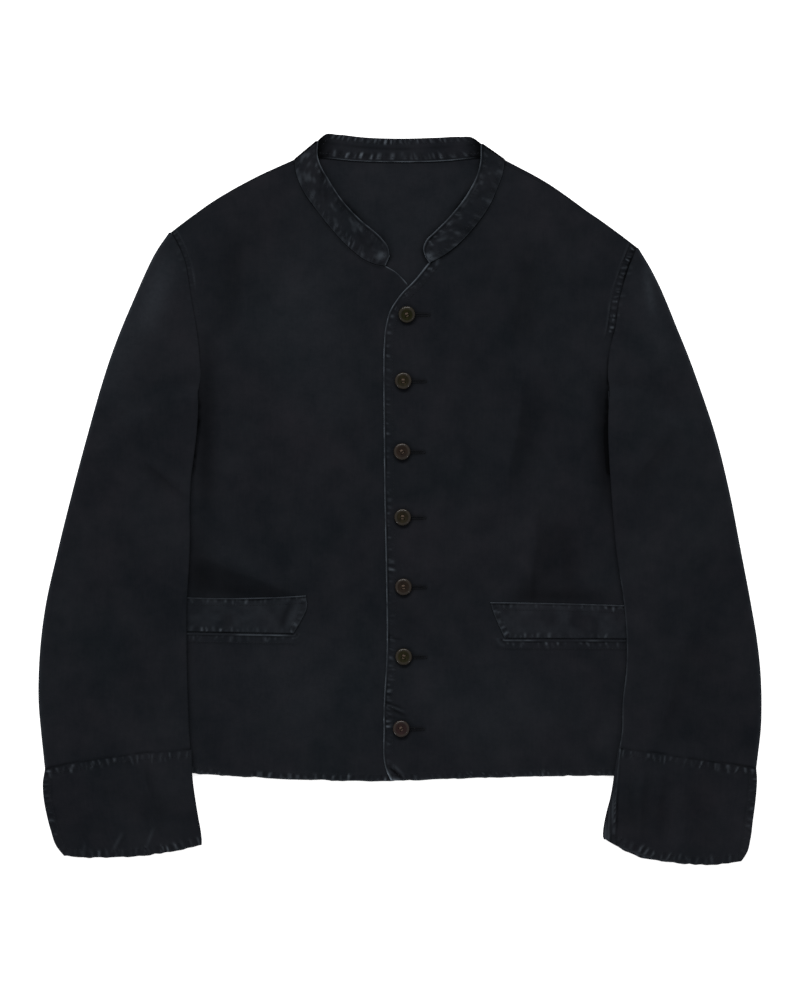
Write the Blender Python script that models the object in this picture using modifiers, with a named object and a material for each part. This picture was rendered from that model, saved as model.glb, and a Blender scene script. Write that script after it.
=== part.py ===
"""A single-breasted jacket with a stand collar, laid out flat and face up.

Each cut piece is a sheet of cloth with a wall.  The pieces lie on one another from the back upwards.
+X is to the right of the jacket as it is seen, +Y is towards the collar and +Z is up from the table.
Left and right in the names are the wearer's, so the right front is on the side of -X.
"""

import math
from collections import namedtuple

import bmesh
import bpy
from mathutils import Vector

MM = 0.001

# Cloth and seams, in millimetres
CLOTH = 1.2
SEAM = 0.3
CUFF_SPACE = 0.9
NECK_MIDDLE_Y = 290.0

# Heights of the layers and of what billows between them, in millimetres
FRONT_LEVEL = CLOTH + SEAM
OVERLAP_LIFT = CLOTH + SEAM
OVERLAP_PLATEAU = 26.0
OVERLAP_REACH = 70.0
FRONT_LOFT = 2.2
SLEEVE_LIFT = 4.6
SLEEVE_PLATEAU = 18.0
SLEEVE_REACH = 55.0
SLEEVE_LOFT = 2.3
CUFF_LOFT = 0.8
ARMHOLE_DEPTH_Y = 113.0

# Where the fronts billow: clear of the sleeves, of the button strip, of the hem and of the chest
ARM_SIDE_X = 200.0
ARM_SIDE_EASE = 80.0
STRIP_RIGHT_X = -22.0
STRIP_LEFT_X = 48.0
STRIP_EASE = 70.0
HEM_SHARE = 0.35
HEM_EASE_Y = (-280.0, -150.0)
CHEST_EASE_Y = (60.0, 200.0)
FOLD_EASE_Y = (150.0, 215.0)

# Where the sleeves billow, as shares of their length from the shoulder
SHOULDER_EASE = 0.3
CUFF_EASE = 0.2
CUFF_SHARE = 0.45
ROUNDNESS = 0.8

# How finely the sheets are divided, in millimetres and counts
BODY_STEP = 32.0
SLEEVE_STEP = 30.0
CUFF_STEP = 14.0
COLLAR_STEP = 13.0
WELT_STEP = 13.0
BACK_ACROSS = 14
FRONT_ACROSS = 12
SLEEVE_ACROSS = 8
CUFF_ACROSS = 8
COLLAR_ACROSS = 3
WELT_ACROSS = 9
FOLD_STEPS = 4

# Buttons, in millimetres
BUTTON_RADIUS = 8.4
BUTTON_HEIGHT = 3.4
BUTTON_RIM = 1.5
BUTTON_DISH = 0.9
BUTTON_FOOT = 6.2
BUTTON_DISH_SLOPE = 1.6
BUTTON_WAIST = 0.62
BUTTON_SIDES = 18

Section = namedtuple("Section", "outer_x outer_y inner_x inner_y bow")
Band = namedtuple("Band", "seam_x seam_y edge_x edge_y seam_z edge_z")
Fold = namedtuple("Fold", "x y length width turn rise")
Button = namedtuple("Button", "x y tilt")

# The back, from hem to neck: wearer's right side, then left side
BACK = [
    Section(-252.0, -266.0, 260.0, -271.0, -5.0),
    Section(-255.0, -200.0, 262.0, -203.0, -2.0),
    Section(-258.0, -80.0, 264.5, -80.0, 0.0),
    Section(-261.0, 20.0, 267.5, 20.0, 0.0),
    Section(-262.0, 50.0, 268.5, 50.0, 0.0),
    Section(-246.0, 72.0, 252.0, 72.0, 0.0),
    Section(-218.0, 90.0, 225.0, 90.0, 0.0),
    Section(-201.5, 113.0, 209.5, 113.0, 0.0),
    Section(-201.0, 145.0, 209.5, 145.0, 0.0),
    Section(-204.5, 175.0, 215.5, 173.0, 0.0),
    Section(-209.3, 203.0, 219.0, 198.0, 0.0),
    Section(-212.8, 227.0, 224.0, 217.0, 0.0),
    Section(-219.0, 248.0, 229.0, 232.5, 2.0),
    Section(-229.0, 267.5, 236.8, 252.5, 4.0),
    Section(-186.0, 299.0, 190.0, 286.6, 3.0),
    Section(-145.0, 322.2, 147.0, 317.0, 2.0),
    Section(-104.0, 341.0, 103.5, 340.6, 1.0),
]

# The right front, from hem to shoulder: side and armhole, then front edge and neck
FRONT_RIGHT = [
    Section(-253.5, -270.5, 19.0, -282.5, -2.8),
    Section(-255.0, -200.0, 19.0, -205.0, -1.0),
    Section(-258.0, -80.0, 19.0, -82.0, 0.0),
    Section(-261.0, 20.0, 19.0, 30.0, 0.0),
    Section(-262.0, 50.0, 19.0, 70.0, 0.0),
    Section(-246.0, 72.0, 19.0, 95.0, 0.0),
    Section(-218.0, 90.0, 19.0, 112.0, 0.0),
    Section(-201.5, 113.0, 19.0, 132.0, 0.0),
    Section(-201.0, 145.0, 19.0, 157.0, 0.0),
    Section(-204.5, 175.0, 17.5, 180.0, 0.0),
    Section(-209.3, 203.0, 13.0, 204.0, 0.0),
    Section(-211.2, 217.0, 7.0, 216.0, 0.0),
    Section(-212.8, 227.0, -4.0, 227.5, 0.0),
    Section(-214.6, 235.5, -17.0, 235.0, 0.0),
    Section(-219.0, 248.0, -51.0, 257.5, 1.0),
    Section(-223.7, 258.0, -84.5, 297.0, 5.0),
    Section(-229.0, 267.2, -103.5, 335.4, 8.5),
]

# The left front, from hem to shoulder: side and armhole, then front edge and neck
FRONT_LEFT = [
    Section(261.5, -276.0, -6.0, -282.4, 1.5),
    Section(261.7, -267.0, -12.8, -272.5, 1.0),
    Section(262.0, -225.0, -16.4, -227.0, 0.0),
    Section(263.0, -150.0, -13.3, -150.0, 0.0),
    Section(265.0, -60.0, -14.2, -65.0, 0.0),
    Section(267.5, 20.0, -15.8, 20.0, 0.0),
    Section(268.5, 50.0, -16.2, 62.0, 0.0),
    Section(252.0, 72.0, -16.4, 88.0, 0.0),
    Section(225.0, 90.0, -16.6, 108.0, 0.0),
    Section(209.5, 113.0, -16.6, 130.0, 0.0),
    Section(209.5, 145.0, -16.2, 153.0, 0.0),
    Section(215.5, 173.0, -14.2, 174.0, 0.0),
    Section(219.0, 198.0, -7.5, 193.5, 0.0),
    Section(221.4, 208.0, 3.2, 208.0, 0.0),
    Section(224.0, 217.0, 13.5, 218.0, 0.0),
    Section(226.9, 226.0, 31.0, 239.0, 0.0),
    Section(229.0, 232.5, 44.5, 248.5, 1.0),
    Section(232.0, 240.0, 70.0, 272.5, 2.5),
    Section(234.6, 246.5, 88.0, 299.0, 4.0),
    Section(236.8, 252.2, 102.0, 335.4, 6.0),
]

# The right sleeve, from shoulder to cuff: outer edge, then armhole and inner edge
SLEEVE_RIGHT = [
    Section(-233.0, 264.5, -229.8, 264.8, 0.0),
    Section(-244.4, 247.5, -220.0, 248.0, 0.0),
    Section(-254.9, 226.5, -213.8, 227.0, 0.0),
    Section(-265.4, 202.5, -210.3, 203.0, 0.0),
    Section(-277.4, 174.5, -205.5, 175.0, 0.0),
    Section(-288.9, 144.5, -202.0, 145.0, 0.0),
    Section(-299.4, 112.0, -201.6, 113.0, 0.0),
    Section(-311.4, 69.5, -202.4, 76.0, 0.0),
    Section(-327.4, 9.5, -209.5, 11.0, 0.0),
    Section(-342.3, -50.5, -210.0, -47.0, 0.0),
    Section(-355.4, -110.5, -213.0, -107.0, 0.0),
    Section(-361.4, -170.5, -212.8, -168.0, 0.0),
    Section(-361.7, -200.5, -212.0, -198.0, 0.0),
    Section(-359.4, -230.5, -211.0, -226.0, 1.0),
    Section(-355.2, -269.0, -209.4, -249.6, 3.5),
]

# The left sleeve, from shoulder to cuff: outer edge, then armhole and inner edge
SLEEVE_LEFT = [
    Section(241.0, 248.6, 238.2, 249.0, 0.0),
    Section(250.6, 231.5, 230.1, 232.5, 0.0),
    Section(258.6, 216.0, 225.1, 217.0, 0.0),
    Section(266.7, 197.5, 220.1, 198.0, 0.0),
    Section(276.8, 172.5, 216.6, 173.0, 0.0),
    Section(288.2, 144.5, 210.6, 145.0, 0.0),
    Section(300.0, 112.0, 209.6, 113.0, 0.0),
    Section(314.2, 69.5, 208.0, 73.0, 0.0),
    Section(329.3, 9.5, 211.0, 10.0, 0.0),
    Section(341.0, -50.5, 216.0, -50.0, 0.0),
    Section(352.3, -110.5, 224.8, -112.0, 0.0),
    Section(357.3, -140.5, 226.7, -142.0, 0.0),
    Section(360.6, -170.5, 226.2, -170.0, 0.0),
    Section(361.8, -205.0, 222.6, -203.0, 0.0),
    Section(360.8, -233.0, 222.0, -231.0, 0.0),
    Section(356.4, -268.2, 219.2, -247.6, 0.5),
]

# The right cuff, from its seam to its lower edge: outer vent, then inner fold
CUFF_RIGHT = [
    Section(-355.2, -269.5, -208.4, -250.1, 3.5),
    Section(-357.4, -284.0, -208.0, -276.0, 2.5),
    Section(-356.4, -300.0, -205.2, -299.0, 1.0),
    Section(-353.6, -315.0, -202.3, -318.0, -0.5),
    Section(-349.4, -331.0, -199.6, -333.5, -2.0),
    Section(-344.2, -346.0, -198.9, -341.5, -4.0),
    Section(-336.0, -356.5, -199.0, -345.8, -6.0),
]

# The left cuff, from its seam to its lower edge: outer vent, then inner fold
CUFF_LEFT = [
    Section(356.4, -268.7, 218.4, -248.1, 0.5),
    Section(357.2, -282.0, 214.4, -276.0, 0.0),
    Section(355.5, -303.0, 210.9, -297.0, -2.0),
    Section(353.0, -322.0, 206.7, -314.0, -5.0),
    Section(350.6, -340.0, 204.0, -329.0, -8.5),
    Section(347.0, -353.5, 203.6, -336.5, -11.0),
    Section(341.4, -361.8, 204.4, -339.6, -12.0),
]

# The pocket welts, from their seam to their free upper edge: outer end, then slanted inner end
WELT_RIGHT = [
    Section(-234.0, -132.0, -106.4, -134.2, 0.0),
    Section(-234.0, -121.0, -99.2, -121.6, 0.0),
    Section(-234.0, -106.0, -92.9, -106.6, -0.8),
    Section(-234.0, -97.0, -94.2, -96.0, -2.2),
]
WELT_LEFT = [
    Section(231.0, -139.5, 104.8, -139.0, 0.0),
    Section(231.0, -127.0, 99.0, -126.5, 0.0),
    Section(231.0, -115.0, 93.6, -113.5, 0.0),
    Section(231.0, -106.2, 90.2, -102.8, 0.6),
]

# The collar band in three runs: right front, back of the neck, left front
COLLAR_RIGHT = [
    Band(-14.5, 234.0, -10.5, 243.5, 3.7, 3.8),
    Band(-20.5, 234.5, -12.3, 253.0, 3.7, 4.2),
    Band(-29.0, 237.0, -17.8, 260.5, 3.7, 4.6),
    Band(-53.0, 254.0, -41.0, 281.0, 3.7, 5.0),
    Band(-70.0, 272.5, -58.0, 299.5, 3.8, 5.2),
    Band(-87.0, 294.5, -72.0, 321.0, 3.9, 5.2),
    Band(-97.5, 310.0, -80.0, 335.5, 4.1, 5.0),
    Band(-103.6, 325.5, -82.6, 346.5, 4.2, 4.8),
    Band(-105.6, 338.6, -82.0, 357.2, 4.2, 4.6),
]
COLLAR_BACK = [
    Band(-105.6, 338.6, -82.0, 357.2, 2.1, 0.6),
    Band(-96.0, 342.4, -75.8, 364.8, 2.1, 0.6),
    Band(-75.0, 341.6, -62.0, 365.2, 2.1, 0.6),
    Band(-48.0, 339.0, -38.0, 362.6, 2.1, 0.6),
    Band(0.0, 337.6, 0.0, 361.2, 2.1, 0.6),
    Band(48.0, 339.0, 38.0, 362.2, 2.1, 0.6),
    Band(75.0, 341.6, 60.0, 363.0, 2.1, 0.6),
    Band(95.0, 342.4, 73.6, 361.6, 2.1, 0.6),
    Band(104.6, 338.8, 80.8, 354.4, 2.1, 0.6),
]
COLLAR_LEFT = [
    Band(104.6, 338.8, 80.8, 354.4, 4.2, 4.6),
    Band(102.4, 325.0, 80.4, 338.5, 4.2, 4.9),
    Band(97.0, 310.5, 76.4, 323.0, 4.2, 5.1),
    Band(91.0, 297.0, 69.0, 308.5, 4.2, 5.2),
    Band(73.0, 271.0, 48.0, 281.0, 4.3, 5.2),
    Band(60.0, 257.0, 34.5, 267.5, 4.4, 5.1),
    Band(47.0, 246.5, 25.8, 258.5, 4.6, 5.0),
    Band(38.0, 241.0, 23.2, 250.5, 4.8, 5.0),
    Band(29.5, 236.5, 25.3, 242.5, 5.0, 5.0),
]

# The largest folds: soft ridges, each placed by its middle
FRONT_FOLDS = [
    Fold(-138.0, -74.0, 130.0, 17.0, -20.0, 0.8),
    Fold(-118.0, 105.0, 170.0, 24.0, 62.0, 0.7),
    Fold(-88.0, -205.0, 140.0, 22.0, 82.0, 0.6),
    Fold(118.0, 20.0, 190.0, 21.0, 88.0, 0.8),
    Fold(150.0, 150.0, 130.0, 22.0, 115.0, 0.6),
    Fold(112.0, -215.0, 120.0, 22.0, 97.0, 0.6),
]
SLEEVE_FOLDS = [
    Fold(-238.0, 24.0, 70.0, 14.0, -38.0, 0.7),
    Fold(-300.0, -70.0, 160.0, 18.0, 76.0, 0.6),
    Fold(-282.0, -195.0, 120.0, 17.0, 96.0, 0.6),
    Fold(252.0, 48.0, 80.0, 15.0, 52.0, 0.7),
    Fold(298.0, -60.0, 150.0, 18.0, 104.0, 0.6),
    Fold(292.0, -200.0, 120.0, 17.0, 84.0, 0.6),
]

# The buttons from the neck down, with the angle at which each one leans back
BUTTONS = [
    Button(6.8, 185.2, 14.0),
    Button(3.2, 118.6, 0.0),
    Button(2.0, 47.8, 0.0),
    Button(2.6, -17.8, 0.0),
    Button(3.4, -87.4, 0.0),
    Button(3.6, -157.2, 0.0),
    Button(1.2, -229.2, 0.0),
]


def soft(value, start, end):
    """A smooth step from 0 at start to 1 at end."""
    share = min(1.0, max(0.0, (value - start) / (end - start)))
    return share * share * (3.0 - 2.0 * share)


def level(table, across, along, place):
    """The value of one column of a table, read straight between its rows at a place along another."""
    rows = sorted((getattr(row, along), getattr(row, across)) for row in table)
    if place <= rows[0][0]:
        return rows[0][1]
    for (low, start), (high, end) in zip(rows, rows[1:]):
        if place <= high:
            return start + (end - start) * (place - low) / (high - low)
    return rows[-1][1]


def row_distance(first, second):
    """The mean distance between the two ends of neighbouring rows."""
    one = math.hypot(second[0] - first[0], second[1] - first[1])
    two = math.hypot(second[2] - first[2], second[3] - first[3])
    return max(0.001, (one + two) / 2.0)


def dense_rows(table, step):
    """More rows, on a smooth curve through the rows of a table."""
    kind = type(table[0])
    spans = [row_distance(a, b) for a, b in zip(table, table[1:])]
    slopes = []
    for i, row in enumerate(table):
        before = spans[max(0, i - 1)]
        after = spans[min(len(spans) - 1, i)]
        last = table[max(0, i - 1)]
        following = table[min(len(table) - 1, i + 1)]
        slope = []
        for a, b, c in zip(last, row, following):
            if i == 0:
                slope.append((c - b) / after)
            elif i == len(table) - 1:
                slope.append((b - a) / before)
            else:
                slope.append(((b - a) / before * after + (c - b) / after * before) / (before + after))
        slopes.append(slope)
    rows = []
    for i, span in enumerate(spans):
        count = max(1, round(span / step))
        for k in range(count):
            t = k / count
            values = []
            for a, b, m, n in zip(table[i], table[i + 1], slopes[i], slopes[i + 1]):
                value = (2 * t**3 - 3 * t**2 + 1) * a + (t**3 - 2 * t**2 + t) * span * m
                value += (3 * t**2 - 2 * t**3) * b + (t**3 - t**2) * span * n
                values.append(value)
            rows.append(kind(*values))
    rows.append(table[-1])
    return rows


def columns(count):
    """Shares across a sheet, closer together near its two edges."""
    shares = []
    for i in range(count + 1):
        even = i / count
        eased = 0.5 - 0.5 * math.cos(math.pi * even)
        shares.append(0.5 * even + 0.5 * eased)
    return shares


def plan_point(row, share):
    """A point of a section seen from above, its middle moved along Y by the bow."""
    x = row.outer_x + (row.inner_x - row.outer_x) * share
    y = row.outer_y + (row.inner_y - row.outer_y) * share
    return x, y + row.bow * 4.0 * share * (1.0 - share)


def ridges(folds, x, y):
    """The rise of a group of folds at a point."""
    total = 0.0
    for fold in folds:
        turn = math.radians(fold.turn)
        along = (x - fold.x) * math.cos(turn) + (y - fold.y) * math.sin(turn)
        aside = (y - fold.y) * math.cos(turn) - (x - fold.x) * math.sin(turn)
        reach = max(0.0, 1.0 - (2.0 * along / fold.length) ** 2)
        total += fold.rise * reach * math.exp(-((aside / fold.width) ** 2))
    return total


def front_rise(x, y):
    """How far a front stands off the back, apart from the overlap."""
    side = soft(ARM_SIDE_X - abs(x), 0.0, ARM_SIDE_EASE)
    strip = soft(STRIP_RIGHT_X - x, 0.0, STRIP_EASE) if x < 0.0 else soft(x - STRIP_LEFT_X, 0.0, STRIP_EASE)
    low = HEM_SHARE + (1.0 - HEM_SHARE) * soft(y, *HEM_EASE_Y)
    high = 1.0 - soft(y, *CHEST_EASE_Y)
    folds = ridges(FRONT_FOLDS, x, y) * (1.0 - soft(y, *FOLD_EASE_Y))
    return side * strip * (FRONT_LOFT * low * high + folds)


def front_right_under(x, y):
    """The underside of the right front."""
    return FRONT_LEVEL + front_rise(x, y)


def front_left_under(x, y):
    """The underside of the left front, which climbs over the right one where they overlap."""
    beyond = x - level(FRONT_RIGHT, "inner_x", "inner_y", y)
    lift = OVERLAP_LIFT * (1.0 - soft(beyond, OVERLAP_PLATEAU, OVERLAP_REACH))
    return FRONT_LEVEL + lift + front_rise(x, y)


def arm_lift(x, y):
    """How far a sleeve or cuff is lifted by the body that it lies on."""
    front = FRONT_RIGHT if x < 0.0 else FRONT_LEFT
    inside_y = min(max(y, front[0].outer_y), ARMHOLE_DEPTH_Y)
    outside = max(0.0, abs(x) - abs(level(front, "outer_x", "outer_y", inside_y)))
    beyond = math.hypot(outside, abs(y - inside_y))
    return SLEEVE_LIFT * (1.0 - soft(beyond, SLEEVE_PLATEAU, SLEEVE_REACH))


def sleeve_loft(x, y, share, along):
    """How far the top of a sleeve stands off its underside."""
    end = CUFF_SHARE + (1.0 - CUFF_SHARE) * soft(1.0 - along, 0.0, CUFF_EASE)
    billow = SLEEVE_LOFT * end + ridges(SLEEVE_FOLDS, x, y)
    return billow * math.sin(math.pi * share) ** ROUNDNESS * soft(along, 0.0, SHOULDER_EASE)


def cloth_object(name, grid, material, grow, wall=CLOTH):
    """An open sheet from a grid of points in millimetres, with Solidify for its wall."""
    mesh = bpy.data.meshes.new(name)
    work = bmesh.new()
    points = []
    for row in grid:
        points.append([work.verts.new(Vector(point) * MM) for point in row])
    for low, high in zip(points, points[1:]):
        for i in range(len(low) - 1):
            work.faces.new((low[i], low[i + 1], high[i + 1], high[i]))
    work.normal_update()
    if sum(face.normal.z * face.calc_area() for face in work.faces) < 0.0:
        bmesh.ops.reverse_faces(work, faces=work.faces[:])
    for face in work.faces:
        face.smooth = True
    work.to_mesh(mesh)
    work.free()
    piece = bpy.data.objects.new(name, mesh)
    shell = piece.modifiers.new("wall", "SOLIDIFY")
    shell.thickness = wall * MM
    shell.offset = grow
    mesh.materials.append(material)
    return piece


def panel(name, table, step, across, height, material):
    """A cut piece between two edges, its underside at the given height."""
    rows = dense_rows(table, step)
    grid = []
    for i, row in enumerate(rows):
        line = []
        for share in columns(across):
            x, y = plan_point(row, share)
            line.append((x, y, height(x, y, share, i / (len(rows) - 1))))
        grid.append(line)
    return cloth_object(name, grid, material, 1.0)


def cuff(name, table, material):
    """A band folded flat: its upper layer, a round fold at the inner edge and its lower layer."""
    radius = (CLOTH + CUFF_SPACE) / 2.0
    grid = []
    for row in dense_rows(table, CUFF_STEP):
        away = Vector((row.inner_x - row.outer_x, row.inner_y - row.outer_y)).normalized()
        shares = columns(CUFF_ACROSS)
        upper = []
        lower = []
        for share in shares:
            x, y = plan_point(row, share)
            x -= away.x * radius * share
            y -= away.y * radius * share
            base = arm_lift(x, y) + CLOTH / 2.0
            billow = CUFF_LOFT * math.sin(math.pi * share)
            upper.append((x, y, base + 2.0 * radius + billow))
            lower.append((x, y, base))
        turn = []
        for k in range(1, FOLD_STEPS):
            angle = math.pi / 2.0 - math.pi * k / FOLD_STEPS
            reach = radius * math.cos(angle)
            x = upper[-1][0] + away.x * reach
            y = upper[-1][1] + away.y * reach
            turn.append((x, y, lower[-1][2] + radius + radius * math.sin(angle)))
        grid.append(upper + turn + lower[::-1])
    return cloth_object(name, grid, material, 0.0)


def half_turn(first, second, outward):
    """Rows that carry the collar band round a fold, from one run of it to the next."""
    rows = []
    seam_radius = (first.seam_z - second.seam_z) / 2.0
    edge_radius = (first.edge_z - second.edge_z) / 2.0
    for k in range(1, FOLD_STEPS):
        angle = math.pi / 2.0 - math.pi * k / FOLD_STEPS
        out = math.cos(angle)
        up = math.sin(angle)
        seam = Vector((first.seam_x, first.seam_y)) + outward * abs(seam_radius) * out
        edge = Vector((first.edge_x, first.edge_y)) + outward * abs(edge_radius) * out
        seam_z = (first.seam_z + second.seam_z) / 2.0 + seam_radius * up
        edge_z = (first.edge_z + second.edge_z) / 2.0 + edge_radius * up
        rows.append(Band(seam.x, seam.y, edge.x, edge.y, seam_z, edge_z))
    return rows


def fold_outward(row, middle):
    """The direction square to a fold line that leads away from the middle of the neck."""
    line = Vector((row.edge_x - row.seam_x, row.edge_y - row.seam_y)).normalized()
    square = Vector((-line.y, line.x))
    place = Vector((row.seam_x, row.seam_y))
    return square if (place - middle).dot(square) > 0.0 else -square


def collar(name, material):
    """The stand band, run round the neck and folded flat at both sides."""
    middle = Vector((0.0, NECK_MIDDLE_Y))
    rows = dense_rows(COLLAR_RIGHT, COLLAR_STEP)
    rows += half_turn(COLLAR_RIGHT[-1], COLLAR_BACK[0], fold_outward(COLLAR_BACK[0], middle))
    rows += dense_rows(COLLAR_BACK, COLLAR_STEP)
    rows += half_turn(COLLAR_BACK[-1], COLLAR_LEFT[0], fold_outward(COLLAR_LEFT[0], middle))
    rows += dense_rows(COLLAR_LEFT, COLLAR_STEP)
    grid = []
    for row in rows:
        line = []
        for k in range(COLLAR_ACROSS + 1):
            share = k / COLLAR_ACROSS
            seam = Vector((row.seam_x, row.seam_y, row.seam_z))
            edge = Vector((row.edge_x, row.edge_y, row.edge_z))
            line.append(tuple(seam.lerp(edge, share)))
        grid.append(line)
    return cloth_object(name, grid, material, 0.0)


def button(name, place, material):
    """A turned button with a rim and a dish, set just above the left front."""
    top = BUTTON_HEIGHT
    outline = [
        (0.0, top - BUTTON_DISH),
        (BUTTON_RADIUS - BUTTON_RIM - BUTTON_DISH_SLOPE, top - BUTTON_DISH),
        (BUTTON_RADIUS - BUTTON_RIM, top),
        (BUTTON_RADIUS - BUTTON_RIM / 2.0, top),
        (BUTTON_RADIUS, top * BUTTON_WAIST),
        (BUTTON_FOOT, 0.0),
        (0.0, 0.0),
    ]
    mesh = bpy.data.meshes.new(name)
    points = [(radius * MM, 0.0, height * MM) for radius, height in outline]
    mesh.from_pydata(points, [(i, i + 1) for i in range(len(points) - 1)], [])
    piece = bpy.data.objects.new(name, mesh)
    turned = piece.modifiers.new("turned", "SCREW")
    turned.steps = BUTTON_SIDES
    turned.render_steps = BUTTON_SIDES
    turned.use_merge_vertices = True
    turned.merge_threshold = 0.00001
    turned.use_smooth_shade = True
    lean = math.radians(place.tilt)
    seat = front_left_under(place.x, place.y) + CLOTH + SEAM + BUTTON_FOOT * math.sin(lean)
    piece.location = Vector((place.x, place.y, seat)) * MM
    piece.rotation_euler = (lean, 0.0, 0.0)
    mesh.materials.append(material)
    return piece


def plain_material(name, colour, roughness):
    """A Principled material of one colour."""
    material = bpy.data.materials.new(name)
    material.use_nodes = True
    surface = material.node_tree.nodes["Principled BSDF"]
    surface.inputs["Base Color"].default_value = (*colour, 1.0)
    surface.inputs["Roughness"].default_value = roughness
    return material


def cloth_material(name):
    """Dark navy linen."""
    return plain_material("linen_" + name, (0.012, 0.013, 0.016), 0.9)


def horn_material(name):
    """Dark brown horn."""
    return plain_material("horn_" + name, (0.030, 0.024, 0.016), 0.35)


def main():
    """Builds every piece and hangs it from one empty."""
    for thing in list(bpy.data.objects):
        bpy.data.objects.remove(thing, do_unlink=True)
    group = bpy.data.collections.new("jacket")
    bpy.context.scene.collection.children.link(group)
    root = bpy.data.objects.new("jacket", None)
    group.objects.link(root)
    pieces = [
        panel("back", BACK, BODY_STEP, BACK_ACROSS, lambda x, y, share, along: 0.0, cloth_material("back")),
        panel(
            "front_right",
            FRONT_RIGHT,
            BODY_STEP,
            FRONT_ACROSS,
            lambda x, y, share, along: front_right_under(x, y),
            cloth_material("front_right"),
        ),
        panel(
            "front_left",
            FRONT_LEFT,
            BODY_STEP,
            FRONT_ACROSS,
            lambda x, y, share, along: front_left_under(x, y),
            cloth_material("front_left"),
        ),
        collar("collar", cloth_material("collar")),
        cuff("cuff_right", CUFF_RIGHT, cloth_material("cuff_right")),
        cuff("cuff_left", CUFF_LEFT, cloth_material("cuff_left")),
    ]
    for side, table in (("right", SLEEVE_RIGHT), ("left", SLEEVE_LEFT)):
        pieces.append(
            panel(
                "sleeve_under_" + side,
                table,
                SLEEVE_STEP,
                SLEEVE_ACROSS,
                lambda x, y, share, along: arm_lift(x, y),
                cloth_material("sleeve_under_" + side),
            )
        )
        pieces.append(
            panel(
                "sleeve_top_" + side,
                table,
                SLEEVE_STEP,
                SLEEVE_ACROSS,
                lambda x, y, share, along: (
                    arm_lift(x, y) + CLOTH + SEAM + sleeve_loft(x, y, share, along)
                ),
                cloth_material("sleeve_top_" + side),
            )
        )
    for side, table, under in (
        ("right", WELT_RIGHT, front_right_under),
        ("left", WELT_LEFT, front_left_under),
    ):
        pieces.append(
            panel(
                "pocket_welt_" + side,
                table,
                WELT_STEP,
                WELT_ACROSS,
                lambda x, y, share, along, under=under: under(x, y) + CLOTH + SEAM,
                cloth_material("pocket_welt_" + side),
            )
        )
    for number, place in enumerate(BUTTONS, 1):
        name = f"button_{number}"
        pieces.append(button(name, place, horn_material(name)))
    for piece in pieces:
        group.objects.link(piece)
        piece.parent = root


main()
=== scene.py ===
"""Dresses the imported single-breasted jacket as worn navy linen, laid out flat and face up.

Each cut piece is a closed shell of cloth on the form of its solid.  Places are in millimetres, as in
the part: +X is to the right as the jacket is seen, +Y is towards the collar and +Z is up.
Left and right in the names are the wearer's.
"""

import math
from collections import namedtuple

import bmesh
import bpy
import numpy as np
from bpy.props import FloatProperty, FloatVectorProperty, IntProperty, PointerProperty
from mathutils import Matrix, Vector
from mathutils.bvhtree import BVHTree


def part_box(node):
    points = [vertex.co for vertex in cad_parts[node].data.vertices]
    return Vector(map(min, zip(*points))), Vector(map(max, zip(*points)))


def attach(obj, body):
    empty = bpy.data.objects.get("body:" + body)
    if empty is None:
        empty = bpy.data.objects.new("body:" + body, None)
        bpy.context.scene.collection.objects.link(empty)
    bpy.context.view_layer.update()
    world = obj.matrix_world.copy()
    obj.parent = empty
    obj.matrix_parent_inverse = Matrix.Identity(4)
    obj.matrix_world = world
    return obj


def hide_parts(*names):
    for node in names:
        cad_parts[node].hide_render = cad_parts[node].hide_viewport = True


bl_info = {
    "name": "Single-breasted jacket",
    "version": (1, 0, 0),
    "blender": (4, 5, 0),
    "location": "3D View > Sidebar > Jacket",
    "description": "Dresses a laid-out jacket as worn linen with horn buttons",
    "category": "Add Mesh",
}

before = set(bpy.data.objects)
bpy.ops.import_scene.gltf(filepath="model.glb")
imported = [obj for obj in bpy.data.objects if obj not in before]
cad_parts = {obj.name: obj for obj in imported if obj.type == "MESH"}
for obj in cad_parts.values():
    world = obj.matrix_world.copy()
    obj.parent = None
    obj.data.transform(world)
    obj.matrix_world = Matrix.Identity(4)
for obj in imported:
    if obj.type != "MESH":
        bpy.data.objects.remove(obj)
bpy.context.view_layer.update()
BUTTON_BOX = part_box("button_3")

MM = 0.001

# Cloth and seams of the solids, in millimetres
CLOTH = 1.2
SEAM = 0.3
CUFF_SPACE = 0.9
NECK_MIDDLE_Y = 290.0

# Heights of the layers and of what billows between them, in millimetres
FRONT_LEVEL = CLOTH + SEAM
OVERLAP_LIFT = CLOTH + SEAM
OVERLAP_PLATEAU = 26.0
OVERLAP_REACH = 70.0
FRONT_LOFT = 2.2
SLEEVE_LIFT = 4.6
SLEEVE_PLATEAU = 18.0
SLEEVE_REACH = 55.0
SLEEVE_LOFT = 2.3
CUFF_LOFT = 0.8
ARMHOLE_DEPTH_Y = 113.0

# Where the fronts billow: clear of the sleeves, of the button strip, of the hem and of the chest
ARM_SIDE_X = 200.0
ARM_SIDE_EASE = 80.0
STRIP_RIGHT_X = -22.0
STRIP_LEFT_X = 48.0
STRIP_EASE = 70.0
HEM_SHARE = 0.35
HEM_EASE_Y = (-280.0, -150.0)
CHEST_EASE_Y = (60.0, 200.0)
FOLD_EASE_Y = (150.0, 215.0)

# Where the sleeves billow, as shares of their length from the shoulder
SHOULDER_EASE = 0.3
CUFF_EASE = 0.2
CUFF_SHARE = 0.45
ROUNDNESS = 0.8
FOLD_STEPS = 10

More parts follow.
